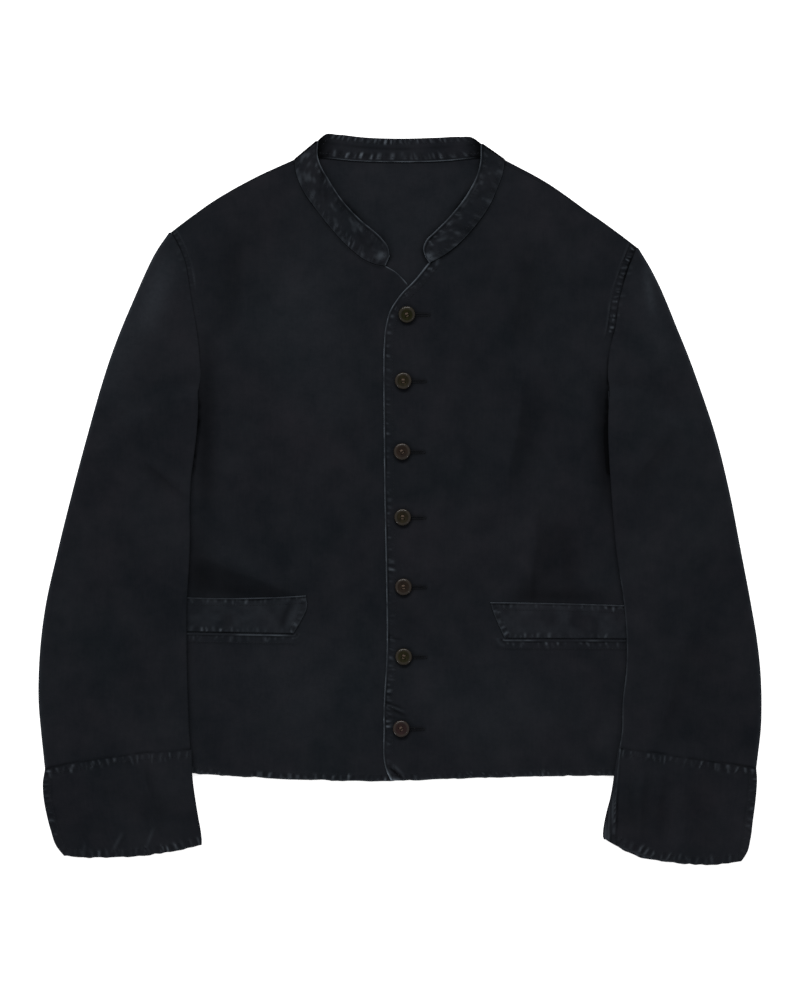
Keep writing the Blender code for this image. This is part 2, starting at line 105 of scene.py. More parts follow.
Section = namedtuple("Section", "outer_x outer_y inner_x inner_y bow")
Band = namedtuple("Band", "seam_x seam_y edge_x edge_y seam_z edge_z")
Fold = namedtuple("Fold", "x y length width turn rise")
Drop = namedtuple("Drop", "x y length turn width reach fall shade")
Patch = namedtuple("Patch", "x y length width turn amount")
Button = namedtuple("Button", "x y tilt turn olive")
Lamp = namedtuple("Lamp", "name place size share")


def rows_of(kind, *rows):
    """A table of numbers whose columns are those of its kind of row."""
    return [kind(*map(float, row)) for row in rows]


# The back, from hem to neck: wearer's right side, then left side
BACK = rows_of(
    Section,
    (-252, -266, 260, -271, -5),
    (-255, -200, 262, -203, -2),
    (-258, -80, 264.5, -80, 0),
    (-261, 20, 267.5, 20, 0),
    (-262, 50, 268.5, 50, 0),
    (-246, 72, 252, 72, 0),
    (-218, 90, 225, 90, 0),
    (-201.5, 113, 209.5, 113, 0),
    (-201, 145, 209.5, 145, 0),
    (-204.5, 175, 215.5, 173, 0),
    (-209.3, 203, 219, 198, 0),
    (-212.8, 227, 224, 217, 0),
    (-219, 248, 229, 232.5, 2),
    (-229, 267.5, 236.8, 252.5, 4),
    (-186, 299, 190, 286.6, 3),
    (-145, 322.2, 147, 317, 2),
    (-104, 341, 103.5, 340.6, 1),
)

# The right front, from hem to shoulder: side and armhole, then front edge and neck
FRONT_RIGHT = rows_of(
    Section,
    (-253.5, -270.5, 19, -282.5, -2.8),
    (-255, -200, 19, -205, -1),
    (-258, -80, 19, -82, 0),
    (-261, 20, 19, 30, 0),
    (-262, 50, 19, 70, 0),
    (-246, 72, 19, 95, 0),
    (-218, 90, 19, 112, 0),
    (-201.5, 113, 19, 132, 0),
    (-201, 145, 19, 157, 0),
    (-204.5, 175, 17.5, 180, 0),
    (-209.3, 203, 13, 204, 0),
    (-211.2, 217, 7, 216, 0),
    (-212.8, 227, -4, 227.5, 0),
    (-214.6, 235.5, -17, 235, 0),
    (-219, 248, -51, 257.5, 1),
    (-223.7, 258, -84.5, 297, 5),
    (-229, 267.2, -103.5, 335.4, 8.5),
)

# The left front, from hem to shoulder: side and armhole, then front edge and neck
FRONT_LEFT = rows_of(
    Section,
    (261.5, -276, -8.8, -281.6, 1.5),
    (261.7, -267, -13.2, -272.5, 1),
    (262, -225, -16.4, -227, 0),
    (263, -150, -13.3, -150, 0),
    (265, -60, -14.2, -65, 0),
    (267.5, 20, -15.8, 20, 0),
    (268.5, 50, -16.2, 62, 0),
    (252, 72, -16.4, 88, 0),
    (225, 90, -16.6, 108, 0),
    (209.5, 113, -16.6, 130, 0),
    (209.5, 145, -16.2, 153, 0),
    (215.5, 173, -14.2, 174, 0),
    (219, 198, -7.5, 193.5, 0),
    (221.4, 208, 3.2, 208, 0),
    (224, 217, 13.5, 218, 0),
    (226.9, 226, 31, 239, 0),
    (229, 232.5, 44.5, 248.5, 1),
    (232, 240, 70, 272.5, 2.5),
    (234.6, 246.5, 88, 299, 4),
    (236.8, 252.2, 102, 335.4, 6),
)

# The right sleeve, from shoulder to cuff: outer edge, then armhole and inner edge
SLEEVE_RIGHT = rows_of(
    Section,
    (-231.2, 267, -229.2, 267.2, 0),
    (-244.4, 247.5, -220, 248, 0),
    (-254.9, 226.5, -213.8, 227, 0),
    (-265.4, 202.5, -210.3, 203, 0),
    (-277.4, 174.5, -205.5, 175, 0),
    (-288.9, 144.5, -202, 145, 0),
    (-299.4, 112, -201.6, 113, 0),
    (-311.4, 69.5, -202.4, 76, 0),
    (-327.4, 9.5, -209.5, 11, 0),
    (-342.3, -50.5, -210, -47, 0),
    (-355.4, -110.5, -213, -107, 0),
    (-361.4, -170.5, -212.8, -168, 0),
    (-361.7, -200.5, -212, -198, 0),
    (-359.4, -230.5, -211, -226, 1),
    (-355.2, -269, -209.4, -249.6, 3.5),
)

# The left sleeve, from shoulder to cuff: outer edge, then armhole and inner edge
SLEEVE_LEFT = rows_of(
    Section,
    (238.6, 251.4, 236.9, 252.2, 0),
    (250.6, 231.5, 230.1, 232.5, 0),
    (258.6, 216, 225.1, 217, 0),
    (266.7, 197.5, 220.1, 198, 0),
    (276.8, 172.5, 216.6, 173, 0),
    (288.2, 144.5, 210.6, 145, 0),
    (300, 112, 209.6, 113, 0),
    (314.2, 69.5, 208, 73, 0),
    (329.3, 9.5, 211, 10, 0),
    (341, -50.5, 216, -50, 0),
    (352.3, -110.5, 224.8, -112, 0),
    (357.3, -140.5, 226.7, -142, 0),
    (360.6, -170.5, 226.2, -170, 0),
    (361.8, -205, 222.6, -203, 0),
    (360.8, -233, 222, -231, 0),
    (356.4, -268.2, 219.2, -247.6, 0.5),
)

# The right cuff, from its seam to its lower edge: outer vent, then inner fold
CUFF_RIGHT = rows_of(
    Section,
    (-355.2, -269.5, -208.4, -250.1, 3.5),
    (-357.4, -284, -208, -276, 2.5),
    (-356.4, -300, -205.2, -299, 1),
    (-353.6, -315, -202.3, -318, -0.5),
    (-349.4, -331, -199.6, -333.5, -2),
    (-344.2, -346, -198.9, -341.5, -4),
    (-336, -356.5, -199, -345.8, -6),
)

# The left cuff, from its seam to its lower edge: outer vent, then inner fold
CUFF_LEFT = rows_of(
    Section,
    (356.4, -268.7, 218.4, -248.1, 0.5),
    (357.2, -282, 214.4, -276, 0),
    (355.5, -303, 210.9, -297, -2),
    (353, -322, 206.7, -314, -5),
    (350.6, -340, 204, -329, -8.5),
    (347, -353.5, 203.6, -336.5, -11),
    (341.4, -361.8, 204.4, -339.6, -12),
)

# The pocket welts, from their seam to their free upper edge: outer end, then slanted inner end
WELT_RIGHT = rows_of(
    Section,
    (-234, -132, -106.4, -134.2, 0),
    (-234, -121, -99.2, -121.6, 0),
    (-234, -106, -92.9, -106.6, -0.8),
    (-234, -97, -94.2, -96, -2.2),
)
WELT_LEFT = rows_of(
    Section,
    (231, -139.5, 104.8, -139, 0),
    (231, -127, 99, -126.5, 0),
    (231, -115, 93.6, -113.5, 0),
    (231, -106.2, 90.2, -102.8, 0.6),
)

# The collar band in three runs: right front, back of the neck, left front
COLLAR_RIGHT = rows_of(
    Band,
    (-14.5, 234, -10.5, 243.5, 3.7, 3.8),
    (-20.5, 234.5, -12.3, 253, 3.7, 4.2),
    (-29, 237, -17.8, 260.5, 3.7, 4.6),
    (-53, 254, -41, 281, 3.7, 5),
    (-70, 272.5, -58, 299.5, 3.8, 5.2),
    (-87, 294.5, -72, 321, 3.9, 5.2),
    (-97.5, 310, -80, 335.5, 4.1, 5),
    (-103.6, 325.5, -82.6, 346.5, 4.2, 4.8),
    (-105.6, 338.6, -82, 357.2, 4.2, 4.6),
)
COLLAR_BACK = rows_of(
    Band,
    (-105.6, 338.6, -82, 357.2, 2.1, 0.6),
    (-96, 342.4, -75.8, 364.8, 2.1, 0.6),
    (-75, 341.6, -62, 365.2, 2.1, 0.6),
    (-48, 339, -38, 362.6, 2.1, 0.6),
    (0, 337.6, 0, 361.2, 2.1, 0.6),
    (48, 339, 38, 362.2, 2.1, 0.6),
    (75, 341.6, 60, 363, 2.1, 0.6),
    (95, 342.4, 73.6, 361.6, 2.1, 0.6),
    (104.6, 338.8, 80.8, 354.4, 2.1, 0.6),
)
COLLAR_LEFT = rows_of(
    Band,
    (104.6, 338.8, 80.8, 354.4, 4.2, 4.6),
    (102.4, 325, 80.4, 338.5, 4.2, 4.9),
    (97, 310.5, 76.4, 323, 4.2, 5.1),
    (91, 297, 69, 308.5, 4.2, 5.2),
    (73, 271, 48, 281, 4.3, 5.2),
    (60, 257, 34.5, 267.5, 4.4, 5.1),
    (47, 246.5, 25.8, 258.5, 4.6, 5),
    (38, 241, 23.2, 250.5, 4.8, 5),
    (29.5, 236.5, 25.3, 242.5, 5, 5),
)

# The largest folds, which the solids have too
FRONT_FOLDS = rows_of(
    Fold,
    (-138, -74, 130, 17, -20, 0.8),
    (-118, 105, 170, 24, 62, 0.7),
    (-88, -205, 140, 22, 82, 0.6),
    (118, 20, 190, 21, 88, 0.8),
    (150, 150, 130, 22, 115, 0.6),
    (112, -215, 120, 22, 97, 0.6),
)
SLEEVE_FOLDS = rows_of(
    Fold,
    (-238, 24, 70, 14, -38, 0.7),
    (-300, -70, 160, 18, 76, 0.6),
    (-282, -195, 120, 17, 96, 0.6),
    (252, 48, 80, 15, 52, 0.7),
    (298, -60, 150, 18, 104, 0.6),
    (292, -200, 120, 17, 84, 0.6),
)

# The buttons from the neck down: how far each leans back, how its holes are turned, and how olive
# it is, or how red below 0
BUTTONS = [
    Button(6.8, 185.2, 14.0, 20.0, 1.0),
    Button(3.2, 118.6, 0.0, 4.0, 0.4),
    Button(2.0, 47.8, 0.0, 38.0, -0.3),
    Button(2.6, -17.8, 0.0, -6.0, 0.3),
    Button(3.4, -87.4, 0.0, 12.0, -0.2),
    Button(3.6, -157.2, 0.0, -14.0, 0.7),
    Button(1.2, -229.2, 0.0, 30.0, -1.0),
]

# Creases of the laid cloth: ridges rise and troughs fall
FRONT_CREASES = rows_of(
    Fold,
    (-146, -75, 92, 6, -29, 0.55),
    (-143, -86, 96, 8, -25, -0.5),
    (-176, -60, 60, 9, -52, 0.35),
    (-186, 40, 120, 8, 84, -0.5),
    (-158, 210, 110, 14, 78, -0.5),
    (-60, 40, 150, 13, 86, 0.3),
    (-40, -120, 120, 10, 96, -0.25),
    (-170, -210, 90, 11, 74, 0.35),
    (108, 60, 130, 7, 81, 0.4),
    (126, -58, 120, 7, 84, 0.45),
    (138, -60, 110, 9, 85, -0.4),
    (120, 200, 80, 9, 82, -0.5),
    (108, 196, 84, 8, 80, 0.3),
    (176, 40, 150, 12, 94, -0.4),
    (72, 128, 120, 15, 60, 0.3),
    (160, -196, 110, 12, 104, 0.4),
    (60, -205, 100, 10, 80, -0.3),
    (-7, -205, 22, 2.2, -16, -0.35),
    (-5, -212, 26, 2.4, -27, -0.4),
    (-6, -208.5, 24, 2, -22, 0.25),
    (18, -135.5, 44, 1.6, 0, 0.2),
    (-2, -270, 26, 3, 60, 0.4),
)
# Small strokes on the left front: pale ones at its corner and on the ridges of its strip, partly from wear
# and partly painted highlight, and painted shade in the creases of its strip
HEM_CORNER_PALE = rows_of(
    Fold,
    (-11.5, -276.5, 18, 1.8, -66, 1.7),
    (-5, -280.8, 16, 1.8, -6, 1.8),
    (-2, -270, 18, 1.4, -45, 0.35),
    (-5, -208.5, 24, 1, -22, 0.3),
)
STRIP_STROKES = rows_of(
    Fold,
    (-6, -205.5, 24, 1.3, -20, 0.8),
    (-4, -211.5, 28, 1.6, -26, 1),
    (-9, -217, 14, 1.2, -14, 0.7),
    (-4, -273.5, 22, 1.7, -42, 1.3),
    (-6, -138.5, 22, 1.2, -10, 0.6),
)
# Folds with one steep side: the cloth falls away on the left of the line, with painted shade on that side,
# and comes back slowly
FRONT_DROPS = rows_of(
    Drop,
    (-150, -76, 124, 157, 5, 36, 0.5, 0.42),
    (113, 62, 130, -99, 5, 40, 0.6, 0.4),
    (131, -60, 120, -96, 5, 60, 0.8, 0.42),
    (158, -64, 90, -84, 7, 30, 0.4, 0.2),
    (112, 205, 110, -98, 9, 46, 0.4, 0.22),
    (-152, 212, 120, 84, 12, 50, 0.4, 0.2),
)
SLEEVE_DROPS = rows_of(
    Drop,
    (-232, 20, 66, 142, 3, 16, 0.4, 0.3),
    (268, -196, 130, -106, 5, 26, 0.4, 0.2),
    (246, 38, 76, -130, 5, 24, 0.4, 0.25),
)
CUFF_DROPS = rows_of(
    Drop,
    (240, -300, 90, -95, 3, 14, 0.4, 0.25),
    (258, -304, 84, -98, 3, 16, 0.4, 0.2),
    (-254, -283, 40, -75, 3, 14, 0.3, 0.25),
)
SLEEVE_CREASES = rows_of(
    Fold,
    (-232, 22, 60, 6, -38, 0.6),
    (-236, 13, 62, 6, -36, -0.55),
    (-262, 44, 70, 9, -24, 0.4),
    (-246, 96, 80, 10, 58, -0.35),
    (-318, -40, 150, 8, 74, -0.45),
    (-262, -130, 140, 10, 88, 0.4),
    (-240, -190, 90, 7, 96, -0.35),
    (-318, -214, 90, 8, 82, 0.4),
    (240, 30, 70, 7, 48, -0.5),
    (262, 62, 80, 9, 44, 0.45),
    (318, -20, 140, 9, 106, -0.4),
    (262, -190, 120, 6, 74, 0.5),
    (276, -196, 110, 6, 76, -0.45),
    (300, -168, 120, 7, 70, 0.4),
    (330, -190, 90, 9, 84, -0.35),
    (252, -80, 110, 9, 98, 0.3),
)
CUFF_CREASES = rows_of(
    Fold,
    (-300, -300, 80, 9, 80, 0.35),
    (-250, -310, 70, 8, 96, -0.35),
    (236, -300, 84, 5, 84, -0.5),
    (246, -298, 90, 6, 86, 0.5),
    (262, -304, 80, 5, 82, -0.4),
    (288, -306, 84, 9, 92, 0.4),
    (318, -310, 60, 8, 76, -0.3),
)
# Pale strokes, partly bleached and partly painted highlight, and soft patches of painted shade on the
# cuffs, and the crease beside the inner fold of the left one
CUFF_STROKES = rows_of(
    Fold,
    (-283, -343, 26, 1.4, 62, 0.9),
    (-250, -338, 24, 1.4, 70, 0.8),
    (-316, -350, 16, 1.2, 84, 0.7),
    (276, -322, 90, 10, 92, 0.12),
)
CUFF_SHADES = rows_of(
    Fold,
    (-279, -344, 26, 1.6, 62, 1),
    (-240, -318, 50, 5, 96, 0.5),
    (304, -305, 110, 16, 88, 0.7),
    (230, -300, 80, 5, 96, 0.6),
)
CUFF_CREASE_LINE = np.array([(219.5, -249.0), (216.8, -276.0), (214.8, -300.0), (214.0, -345.0)])
BACK_CREASES = rows_of(
    Fold,
    (10, 290, 90, 10, 8, 0.3),
    (-20, 262, 80, 8, -14, -0.3),
    (20, 318, 100, 6, 4, 0.25),
)

# Soft patches: paler where the amount is above 0, and painted shade where it is below 0
# On the fronts: painted shade beside the sleeves and above the pockets, the upper chest a little darker and
# the middle and lower front a little paler
FRONT_RIGHT_PATCHES = rows_of(
    Patch,
    (-195, 74, 210, 11, 90, -0.7),
    (-203, -70, 110, 15, 90, -0.45),
    (-150, -94, 120, 8, -4, -0.4),
    (-186, -80, 70, 15, -10, -0.35),
    (-150, 246, 110, 36, 70, -0.16),
    (-95, 170, 220, 44, 100, 0.06),
    (-90, -190, 220, 60, 10, 0.05),
)
FRONT_LEFT_PATCHES = rows_of(
    Patch,
    (207, 62, 156, 11, 91, -1.05),
    (165, -97, 130, 8, 0, -0.45),
    (127, -90, 44, 10, 72, -0.4),
    (120, 210, 130, 40, 80, -0.14),
    (80, -200, 220, 60, 0, 0.04),
)
# On the sleeves: painted highlight on the sleeve heads, and painted shade low on the left sleeve
SLEEVE_RIGHT_PATCHES = [
    Patch(-269.0, 178.0, 200.0, 24.0, 68.0, 0.1),
    Patch(-243.0, 206.0, 96.0, 12.0, 72.0, 0.12),
]
SLEEVE_LEFT_PATCHES = rows_of(
    Patch,
    (252, 180, 130, 18, 112, 0.07),
    (249, 211, 60, 4.5, 98, 0.16),
    (290, -190, 150, 50, 90, -0.12),
)
COLLAR_PATCHES = [
    Patch(-20.0, 243.0, 12.0, 3.2, 30.0, 0.5),
    Patch(30.0, 243.0, 12.0, 3.2, 60.0, 0.5),
]
# On the right welt: painted shade in its crease, and a pale stroke beside it
WELT_PATCHES = [
    Patch(-114.0, -113.5, 42.0, 3.0, 68.0, -0.5),
    Patch(-106.0, -114.0, 34.0, 3.0, 64.0, 0.12),
]
WELT_CREASES = [Fold(-114.0, -113.5, 42.0, 4.0, 68.0, -0.3)]
# The shade round a buttonhole and the pale mark at its end, from the middle of the button
HOLE_PATCHES = [
    Patch(12.0, -0.5, 30.0, 3.0, 0.0, -0.75),
    Patch(25.5, -0.5, 12.0, 1.5, 90.0, 0.04),
]

# How a seam or an edge is sewn and worn, with widths and heights in millimetres:
# the first field is the pale line at the edge, from wear and in places painted highlight, band the raised
# turning, pucker the small waves across the sewing, pale how far the ridges of the waves are painted paler,
# partly bleached and partly painted highlight, with painted shade in their troughs, least how strong the
# weakest wave is, dark a line of painted shade,
# stitches the rows of thread, gaps how far the pale line fades out in places
Style = namedtuple(
    "Style",
    "worn worn_width band rise pucker spacing start reach pale dark dark_at dark_width stitches worn_at "
    "least gaps",
    defaults=(0.0, 1.0, 0.0, 0.0, 0.0, 6.0, 0.0, 8.0, 0.0, 0.0, 0.0, 0.9, (), 0.0, 0.0, 0.0),
)
FRONT_EDGE = Style(1.5, 0.8, 9.5, 0.4, 0.6, 6.4, 2.6, 11.5, 0.8, 0.8, 2.1, 0.7, (9.2,))
NECK_EDGE = Style(1.2, 0.65, 5.0, 0.2)
NECK_SEAM = Style(0.08, 1.2, 2.4, 0.8, dark=0.7, dark_at=0.6, dark_width=1.0)
HEM = Style(0.5, 1.2, 7.0, 0.3, 0.55, 6.0, 0.4, 9.0, 0.75, 0.0, 0.0, 0.9, (6.6,))
ARMHOLE_RIGHT = Style(0.2, 0.9, 5.5, 0.35, 0.22, 5.5, 0.5, 6.5, 0.25, 0.3, 4.0, 0.7, (5.2,), 5.6)
ARMHOLE_LEFT = Style(0.15, 0.8, 9.0, 0.6, 0.6, 5.0, 1.5, 9.5, 0.65, 0.7, 7.4, 0.7, (2.6, 8.0), 9.0, 0.4)
SHADE_RIGHT = Style(dark=0.8, dark_at=0.8, dark_width=1.4)
SHADE_LEFT = Style(dark=1.05, dark_at=1.2, dark_width=2.0)
SLEEVE_HEAD = Style(0.0, 1.0, 0.0, 0.0, 0.3, 9.0, 1.0, 9.0, 0.2, 1.0, 0.0, 0.9)
SLEEVE_END = Style(dark=0.5, dark_at=0.0, dark_width=1.4)
SLEEVE_FOLD = Style(0.6, 0.8)
SLEEVE_OUTER = Style(0.22, 2.4)
WELT_TOP = Style(0.85, 0.5, 7.0, 0.2, 0.45, 7.5, 1.6, 9.0, 0.6, 0.8, 1.9, 0.7, (7.2,), gaps=0.4)
WELT_END = Style(0.4, 0.8, 6.0, 0.3, 0.7, 8.0, 0.8, 9.0, 0.8, 0.0, 0.0, 0.9, (5.4,))
WELT_SEAM = Style(0.0, 1.0, 0.0, 0.0, 0.45, 7.5, 0.8, 8.0, 0.6, 0.9, 0.0, 0.9)
WELT_LIP = Style(0.8, 0.55, 11.0, 0.5, 0.45, 6.0, 3.6, 12.5, 0.85, 0.9, 3.3, 0.6, (9.6,), 1.9, gaps=0.85)
CUFF_SEAM = Style(0.0, 0.8, 8.0, 0.3, 0.55, 6.6, 1.4, 14.0, 0.6, 1.0, 0.2, 1.1, (6.0,))
CUFF_EDGE = Style(0.3, 1.0, 8.0, 0.3, 0.65, 6.4, 0.8, 13.0, 0.55, 0.0, 0.0, 0.9, (7.4,))
CUFF_VENT = Style(0.2, 1.0, 8.0, 0.3, 0.6, 7.4, 0.8, 10.0, 0.35, 0.25, 9.0, 1.2, (7.4,))
CUFF_FOLD = Style(0.6, 0.85, dark=0.9, dark_at=2.2, dark_width=1.1)
COLLAR_TOP = Style(1.5, 0.7, 0.0, 0.0, 0.35, 7.5, 2.6, 12.0, 0.35, 0.9, 2.4, 0.8, (5.2,))
COLLAR_BACK_TOP = Style(0.1, 0.8, 0.0, 0.0, 0.5, 6.2, 1.0, 8.5, 1.0, 0.5, 10.5, 1.6, (5.2,), 0.0, 0.55)
COLLAR_SEAM = Style(0.2, 1.0, 0.0, 0.0, 0.4, 7.0, 0.8, 13.0, 0.35, 0.0, 0.0, 0.8, (4.6,))
COLLAR_BACK_SEAM = Style(1.7, 0.6, 0.0, 0.0, 0.5, 8.2, 2.2, 12.5, 1.15, 0.6, 1.9, 0.6, (4.6,), 0.0, 0.55)
COLLAR_SHADE = Style(dark=1.1, dark_at=-1.0, dark_width=4.0)

# How far a sleeve reaches over its armhole and towards its cuff, in millimetres
ARMHOLE_OVERLAP = 0.8
ARMHOLE_MEET_Y = (98.0, 124.0)
ARMHOLE_SEWN_Y = (98.0, 116.0)
CUFF_OVERLAP = 1.1

# Where seams start or end that are shown in part, and where shades fade in, in millimetres
ARMHOLE_RIGHT_LOW_Y = 206.0
ARMHOLE_LEFT_LOW_Y = 158.0
ARM_SHADE_LOW_Y = 20.0
SLEEVE_HEAD_LOW_Y = 126.0
SLEEVE_FOLD_HIGH_Y = -70.0
CUFF_STRIP_DOWN = (262.0, 290.0)
COLLAR_CORNER_X = (58.0, 82.0)

# How far and how often hems and cuff edges are drawn in by their sewing, in millimetres
SCALLOP = 0.7
SCALLOP_SPACING = 5.5

# How far the back reaches under the collar, and where; where its rows lie close and where it shows
NECK_TUCK = 2.6
NECK_TUCK_X = (97.0, 103.0)
NECK_TUCK_Y = (330.0, 341.0)
NECK_FINE_Y = (205.0, 345.0)
NECK_SHOWN_X = (92.0, 104.0)
NECK_LOW_Y = (205.0, 225.0)
NECK_HIGH_Y = (330.0, 338.0)
BACK_SHOULDER_ROW = 13

# How far the hem of the right front is turned up where the left front covers it, in millimetres
HEM_TUCK = 5.0
HEM_TUCK_X = (-12.0, 14.0)
HEM_TUCK_Y = (-284.0, -230.0)

# Where the rows of the fronts lie close, where their creases fade towards the overlap, and the corner
# at the neck where the right front shows again, in millimetres
POCKET_FINE_Y = (-152.0, -130.0)
COVERED_X = -14.0
COVERED_EASE = 5.0
CREASED_RIGHT_X = -18.0
CREASED_EASE = 8.0
CREASED_STRIP_X = (-14.0, 6.0)
CREASED_CHEST_X = (10.0, 30.0)
NECK_CORNER_X = (-16.0, -8.0)
NECK_CORNER_Y = (212.0, 222.0)

# The shade round each button, in millimetres: its offset, its radius and its width
BUTTON_SHADE_X = 0.7
BUTTON_SHADE_Y = 0.3
BUTTON_SHADE_RADIUS = 8.2
BUTTON_SHADE_WIDTH = 2.2

# How far the lower edge of the left cuff bulges, where and how widely, in millimetres
CUFF_BULGE = 3.6
CUFF_BULGE_X = 238.0
CUFF_BULGE_WIDTH = 22.0

# The radius of a button's foot, by which a leaning button is raised, in millimetres
BUTTON_FOOT = 6.2
# The width of each ring of a button's dish as a share of its radius, and the fall of each ring
DISH_RING = 0.14
DISH_FALLS = (0.34, 0.28, 0.22, 0.16)
# The bars of thread on a button: which pair of holes, how far inside it and how high, in metres
THREAD_BARS = ((1.0, 0.0, 0.00022), (1.0, 0.0005, 0.0003), (1.0, 0.001, 0.00024), (-1.0, 0.0, -0.0001))

# A buttonhole, in millimetres: its start from the button's middle, the length, pitch and width of its
# stitches, half its slit and the lean of the stitches; then the width of the slit in halves of it, and
# the directions of the stitches round its end, in degrees
HOLE_START = (1.0, -0.5)
HOLE_LIP = 1.9
HOLE_PITCH = 0.62
HOLE_THREAD = 0.6
HOLE_HALF = 0.15
HOLE_LEAN = 0.1
HOLE_SLIT_SHARE = 2.6
HOLE_RAYS = range(-75, 76, 25)

# Points inside the pieces, towards which their rows of stitches are set in from the edges
FRONT_INSIDE = (120.0, 0.0)
LIP_INSIDE = (165.0, -300.0)
WELT_RIGHT_INSIDE = (165.0, -115.0)
WELT_LEFT_INSIDE = (165.0, -125.0)
CUFF_INSIDE = (285.0, -300.0)

# The stage, in metres, with the power of each lamp as a share of the key light's setting
FLOOR_SIZE = 12.0
FLOOR_Z = -0.0004
SENSOR_WIDTH = 36.0
CAMERA_Y = -0.0005
JACKET_MIDDLE_Z = 0.004
LAMPS = [
    Lamp("key", (-0.5, 3.9, 3.2), (5.4, 1.3), 1.2),
    Lamp("glint_left", (-1.6, -1.5, 1.3), (0.2, 0.2), 0.025),
    Lamp("glint_right", (1.6, -1.5, 1.3), (0.2, 0.2), 0.025),
]

# The brown thread that holds the buttons
BUTTON_THREAD = (0.07, 0.05, 0.038)

# How finely the shells are divided, in millimetres
FRONT_ROWS = 1.7
FRONT_COLUMNS = 2.0
SLEEVE_ROWS = 2.0
SLEEVE_COLUMNS = 2.0
CUFF_ROWS = 1.4
CUFF_COLUMNS = 1.5
COLLAR_ROWS = 1.4
COLLAR_COLUMNS = 1.3
WELT_ROWS = 1.1
WELT_COLUMNS = 1.4
BACK_ROWS = 3.4
BACK_COLUMNS = 3.0
UNDER_ROWS = 5.0
UNDER_COLUMNS = 5.0

# The step at an edge, the band in which steps grow from it and how far a seam is felt, in millimetres,
# and how many steps of a shell's upper side make one of its lower side
EDGE_STEP = 0.3
EDGE_BAND = 11.0
SEAM_SIGHT = 18.0
COARSE = 6

# Steps of smooth outlines and of lines along seams, in millimetres
CURVE_STEP = 0.5
LINE_STEP = 1.0
COLLAR_LINE_STEP = 2.0

# Unevenness of washed cloth: height and size of its hills in millimetres, and the seed of each kind
RIPPLES = ((0.22, 38.0, 1), (0.12, 17.0, 2), (0.05, 7.0, 3))
# How far creases wander from a straight line and over what length, in millimetres
CREASE_BEND = 2.6
CREASE_BEND_SIZE = 34.0
# For seams, in millimetres: far from any seam, below and above the whole jacket, and the length over
# which a seam that is shown in part fades in and out
FAR_ASIDE = 1000.0
ANY_LOW = -1000.0
ANY_HIGH = 1000.0
WINDOW_EASE = 12.0

# How deep a hollow may go into the wall of a panel, and how thin the wall may get, as shares of it
DEEPEST_SHARE = 0.65
THINNEST_SHARE = 0.15

# The share of a front's and of a cuff's length over which its hem is drawn in and out
HEM_SCALLOP = (0.0, 0.02)
CUFF_SCALLOP = (0.88, 1.0)


def length_setting(name, description, default, **limits):
    """A length in metres that a user may change."""
    return FloatProperty(name=name, description=description, default=default, unit="LENGTH", **limits)


def number_setting(name, description, default, most):
    """A plain number, from 0 up, that a user may change."""
    return FloatProperty(name=name, description=description, default=default, min=0.0, max=most)


def colour_setting(name, description, default):
    """A colour that a user may change."""
    return FloatVectorProperty(
        name=name, description=description, default=default, subtype="COLOR", min=0.0, max=1.0
    )


class JacketCloth(bpy.types.PropertyGroup):
    """Sizes and colours of the linen."""

    wall: length_setting("Wall", "Thickness of one layer of cloth", CLOTH * MM, min=0.0008, max=0.0014)
    crease: number_setting("Creases", "Height of the laid creases, 1 as placed by hand", 1.0, 2.0)
    pucker: number_setting("Puckers", "Height of the waves along the seams, 1 as sewn", 1.0, 2.0)
    linen: colour_setting("Linen", "Colour of the cloth", (0.0083, 0.0093, 0.0116))
    # The pale colour of cloth paled by wear along edges, also used as painted highlight on the ridges of
    # puckers and on raised parts
    faded_and_highlit: colour_setting(
        "Faded linen",
        "Colour of the cloth where it is worn along edges and puckers",
        (0.064, 0.075, 0.088),
    )
    thread_pitch: length_setting(
        "Thread pitch", "Distance between neighbouring threads of the weave", 0.00075, min=0.0003, max=0.002
    )


class JacketSewing(bpy.types.PropertyGroup):
    """Sizes and colour of the sewing thread."""

    length: length_setting("Stitch", "Length of one stitch", 0.0025, min=0.001, max=0.006)
    gap: length_setting("Gap", "Distance between two stitches", 0.0008, min=0.0002, max=0.003)
    width: length_setting("Thread", "Width of a stitch", 0.00046, min=0.0002, max=0.001)
    colour: colour_setting("Thread colour", "Colour of the sewing thread", (0.012, 0.013, 0.016))
    hole_length: length_setting("Buttonhole", "Length of a buttonhole", 0.021, min=0.015, max=0.03)


class JacketButtons(bpy.types.PropertyGroup):
    """Sizes and colours of the horn buttons."""

    radius: length_setting("Radius", "Radius of a button", (BUTTON_BOX[1].x - BUTTON_BOX[0].x) / 2.0)
    height: length_setting(
        "Height", "Height of a button from its foot to its rim", BUTTON_BOX[1].z - BUTTON_BOX[0].z
    )
    rim: length_setting("Rim", "Width of the raised rim", 0.0017)
    dish: length_setting("Dish", "Depth of the dish inside the rim", 0.0007)
    hole: length_setting("Hole", "Radius of a thread hole", 0.00075)
    spread: length_setting("Spread", "Distance from one thread hole to the next", 0.0032)
    sides: IntProperty(name="Sides", description="Sides of the turned button", default=48, min=24, max=96)
    horn: colour_setting("Horn", "Colour of the horn", (0.0105, 0.0078, 0.0054))
    streak: colour_setting("Streaks", "Colour of the paler streaks in the horn", (0.0195, 0.0138, 0.0085))
    # Painted highlight: the paler colour of a button's rim where it catches the light
    rim_highlight: colour_setting(
        "Rubbed horn", "Colour of the horn where the rim is worn", (0.0190, 0.0146, 0.0110)
    )


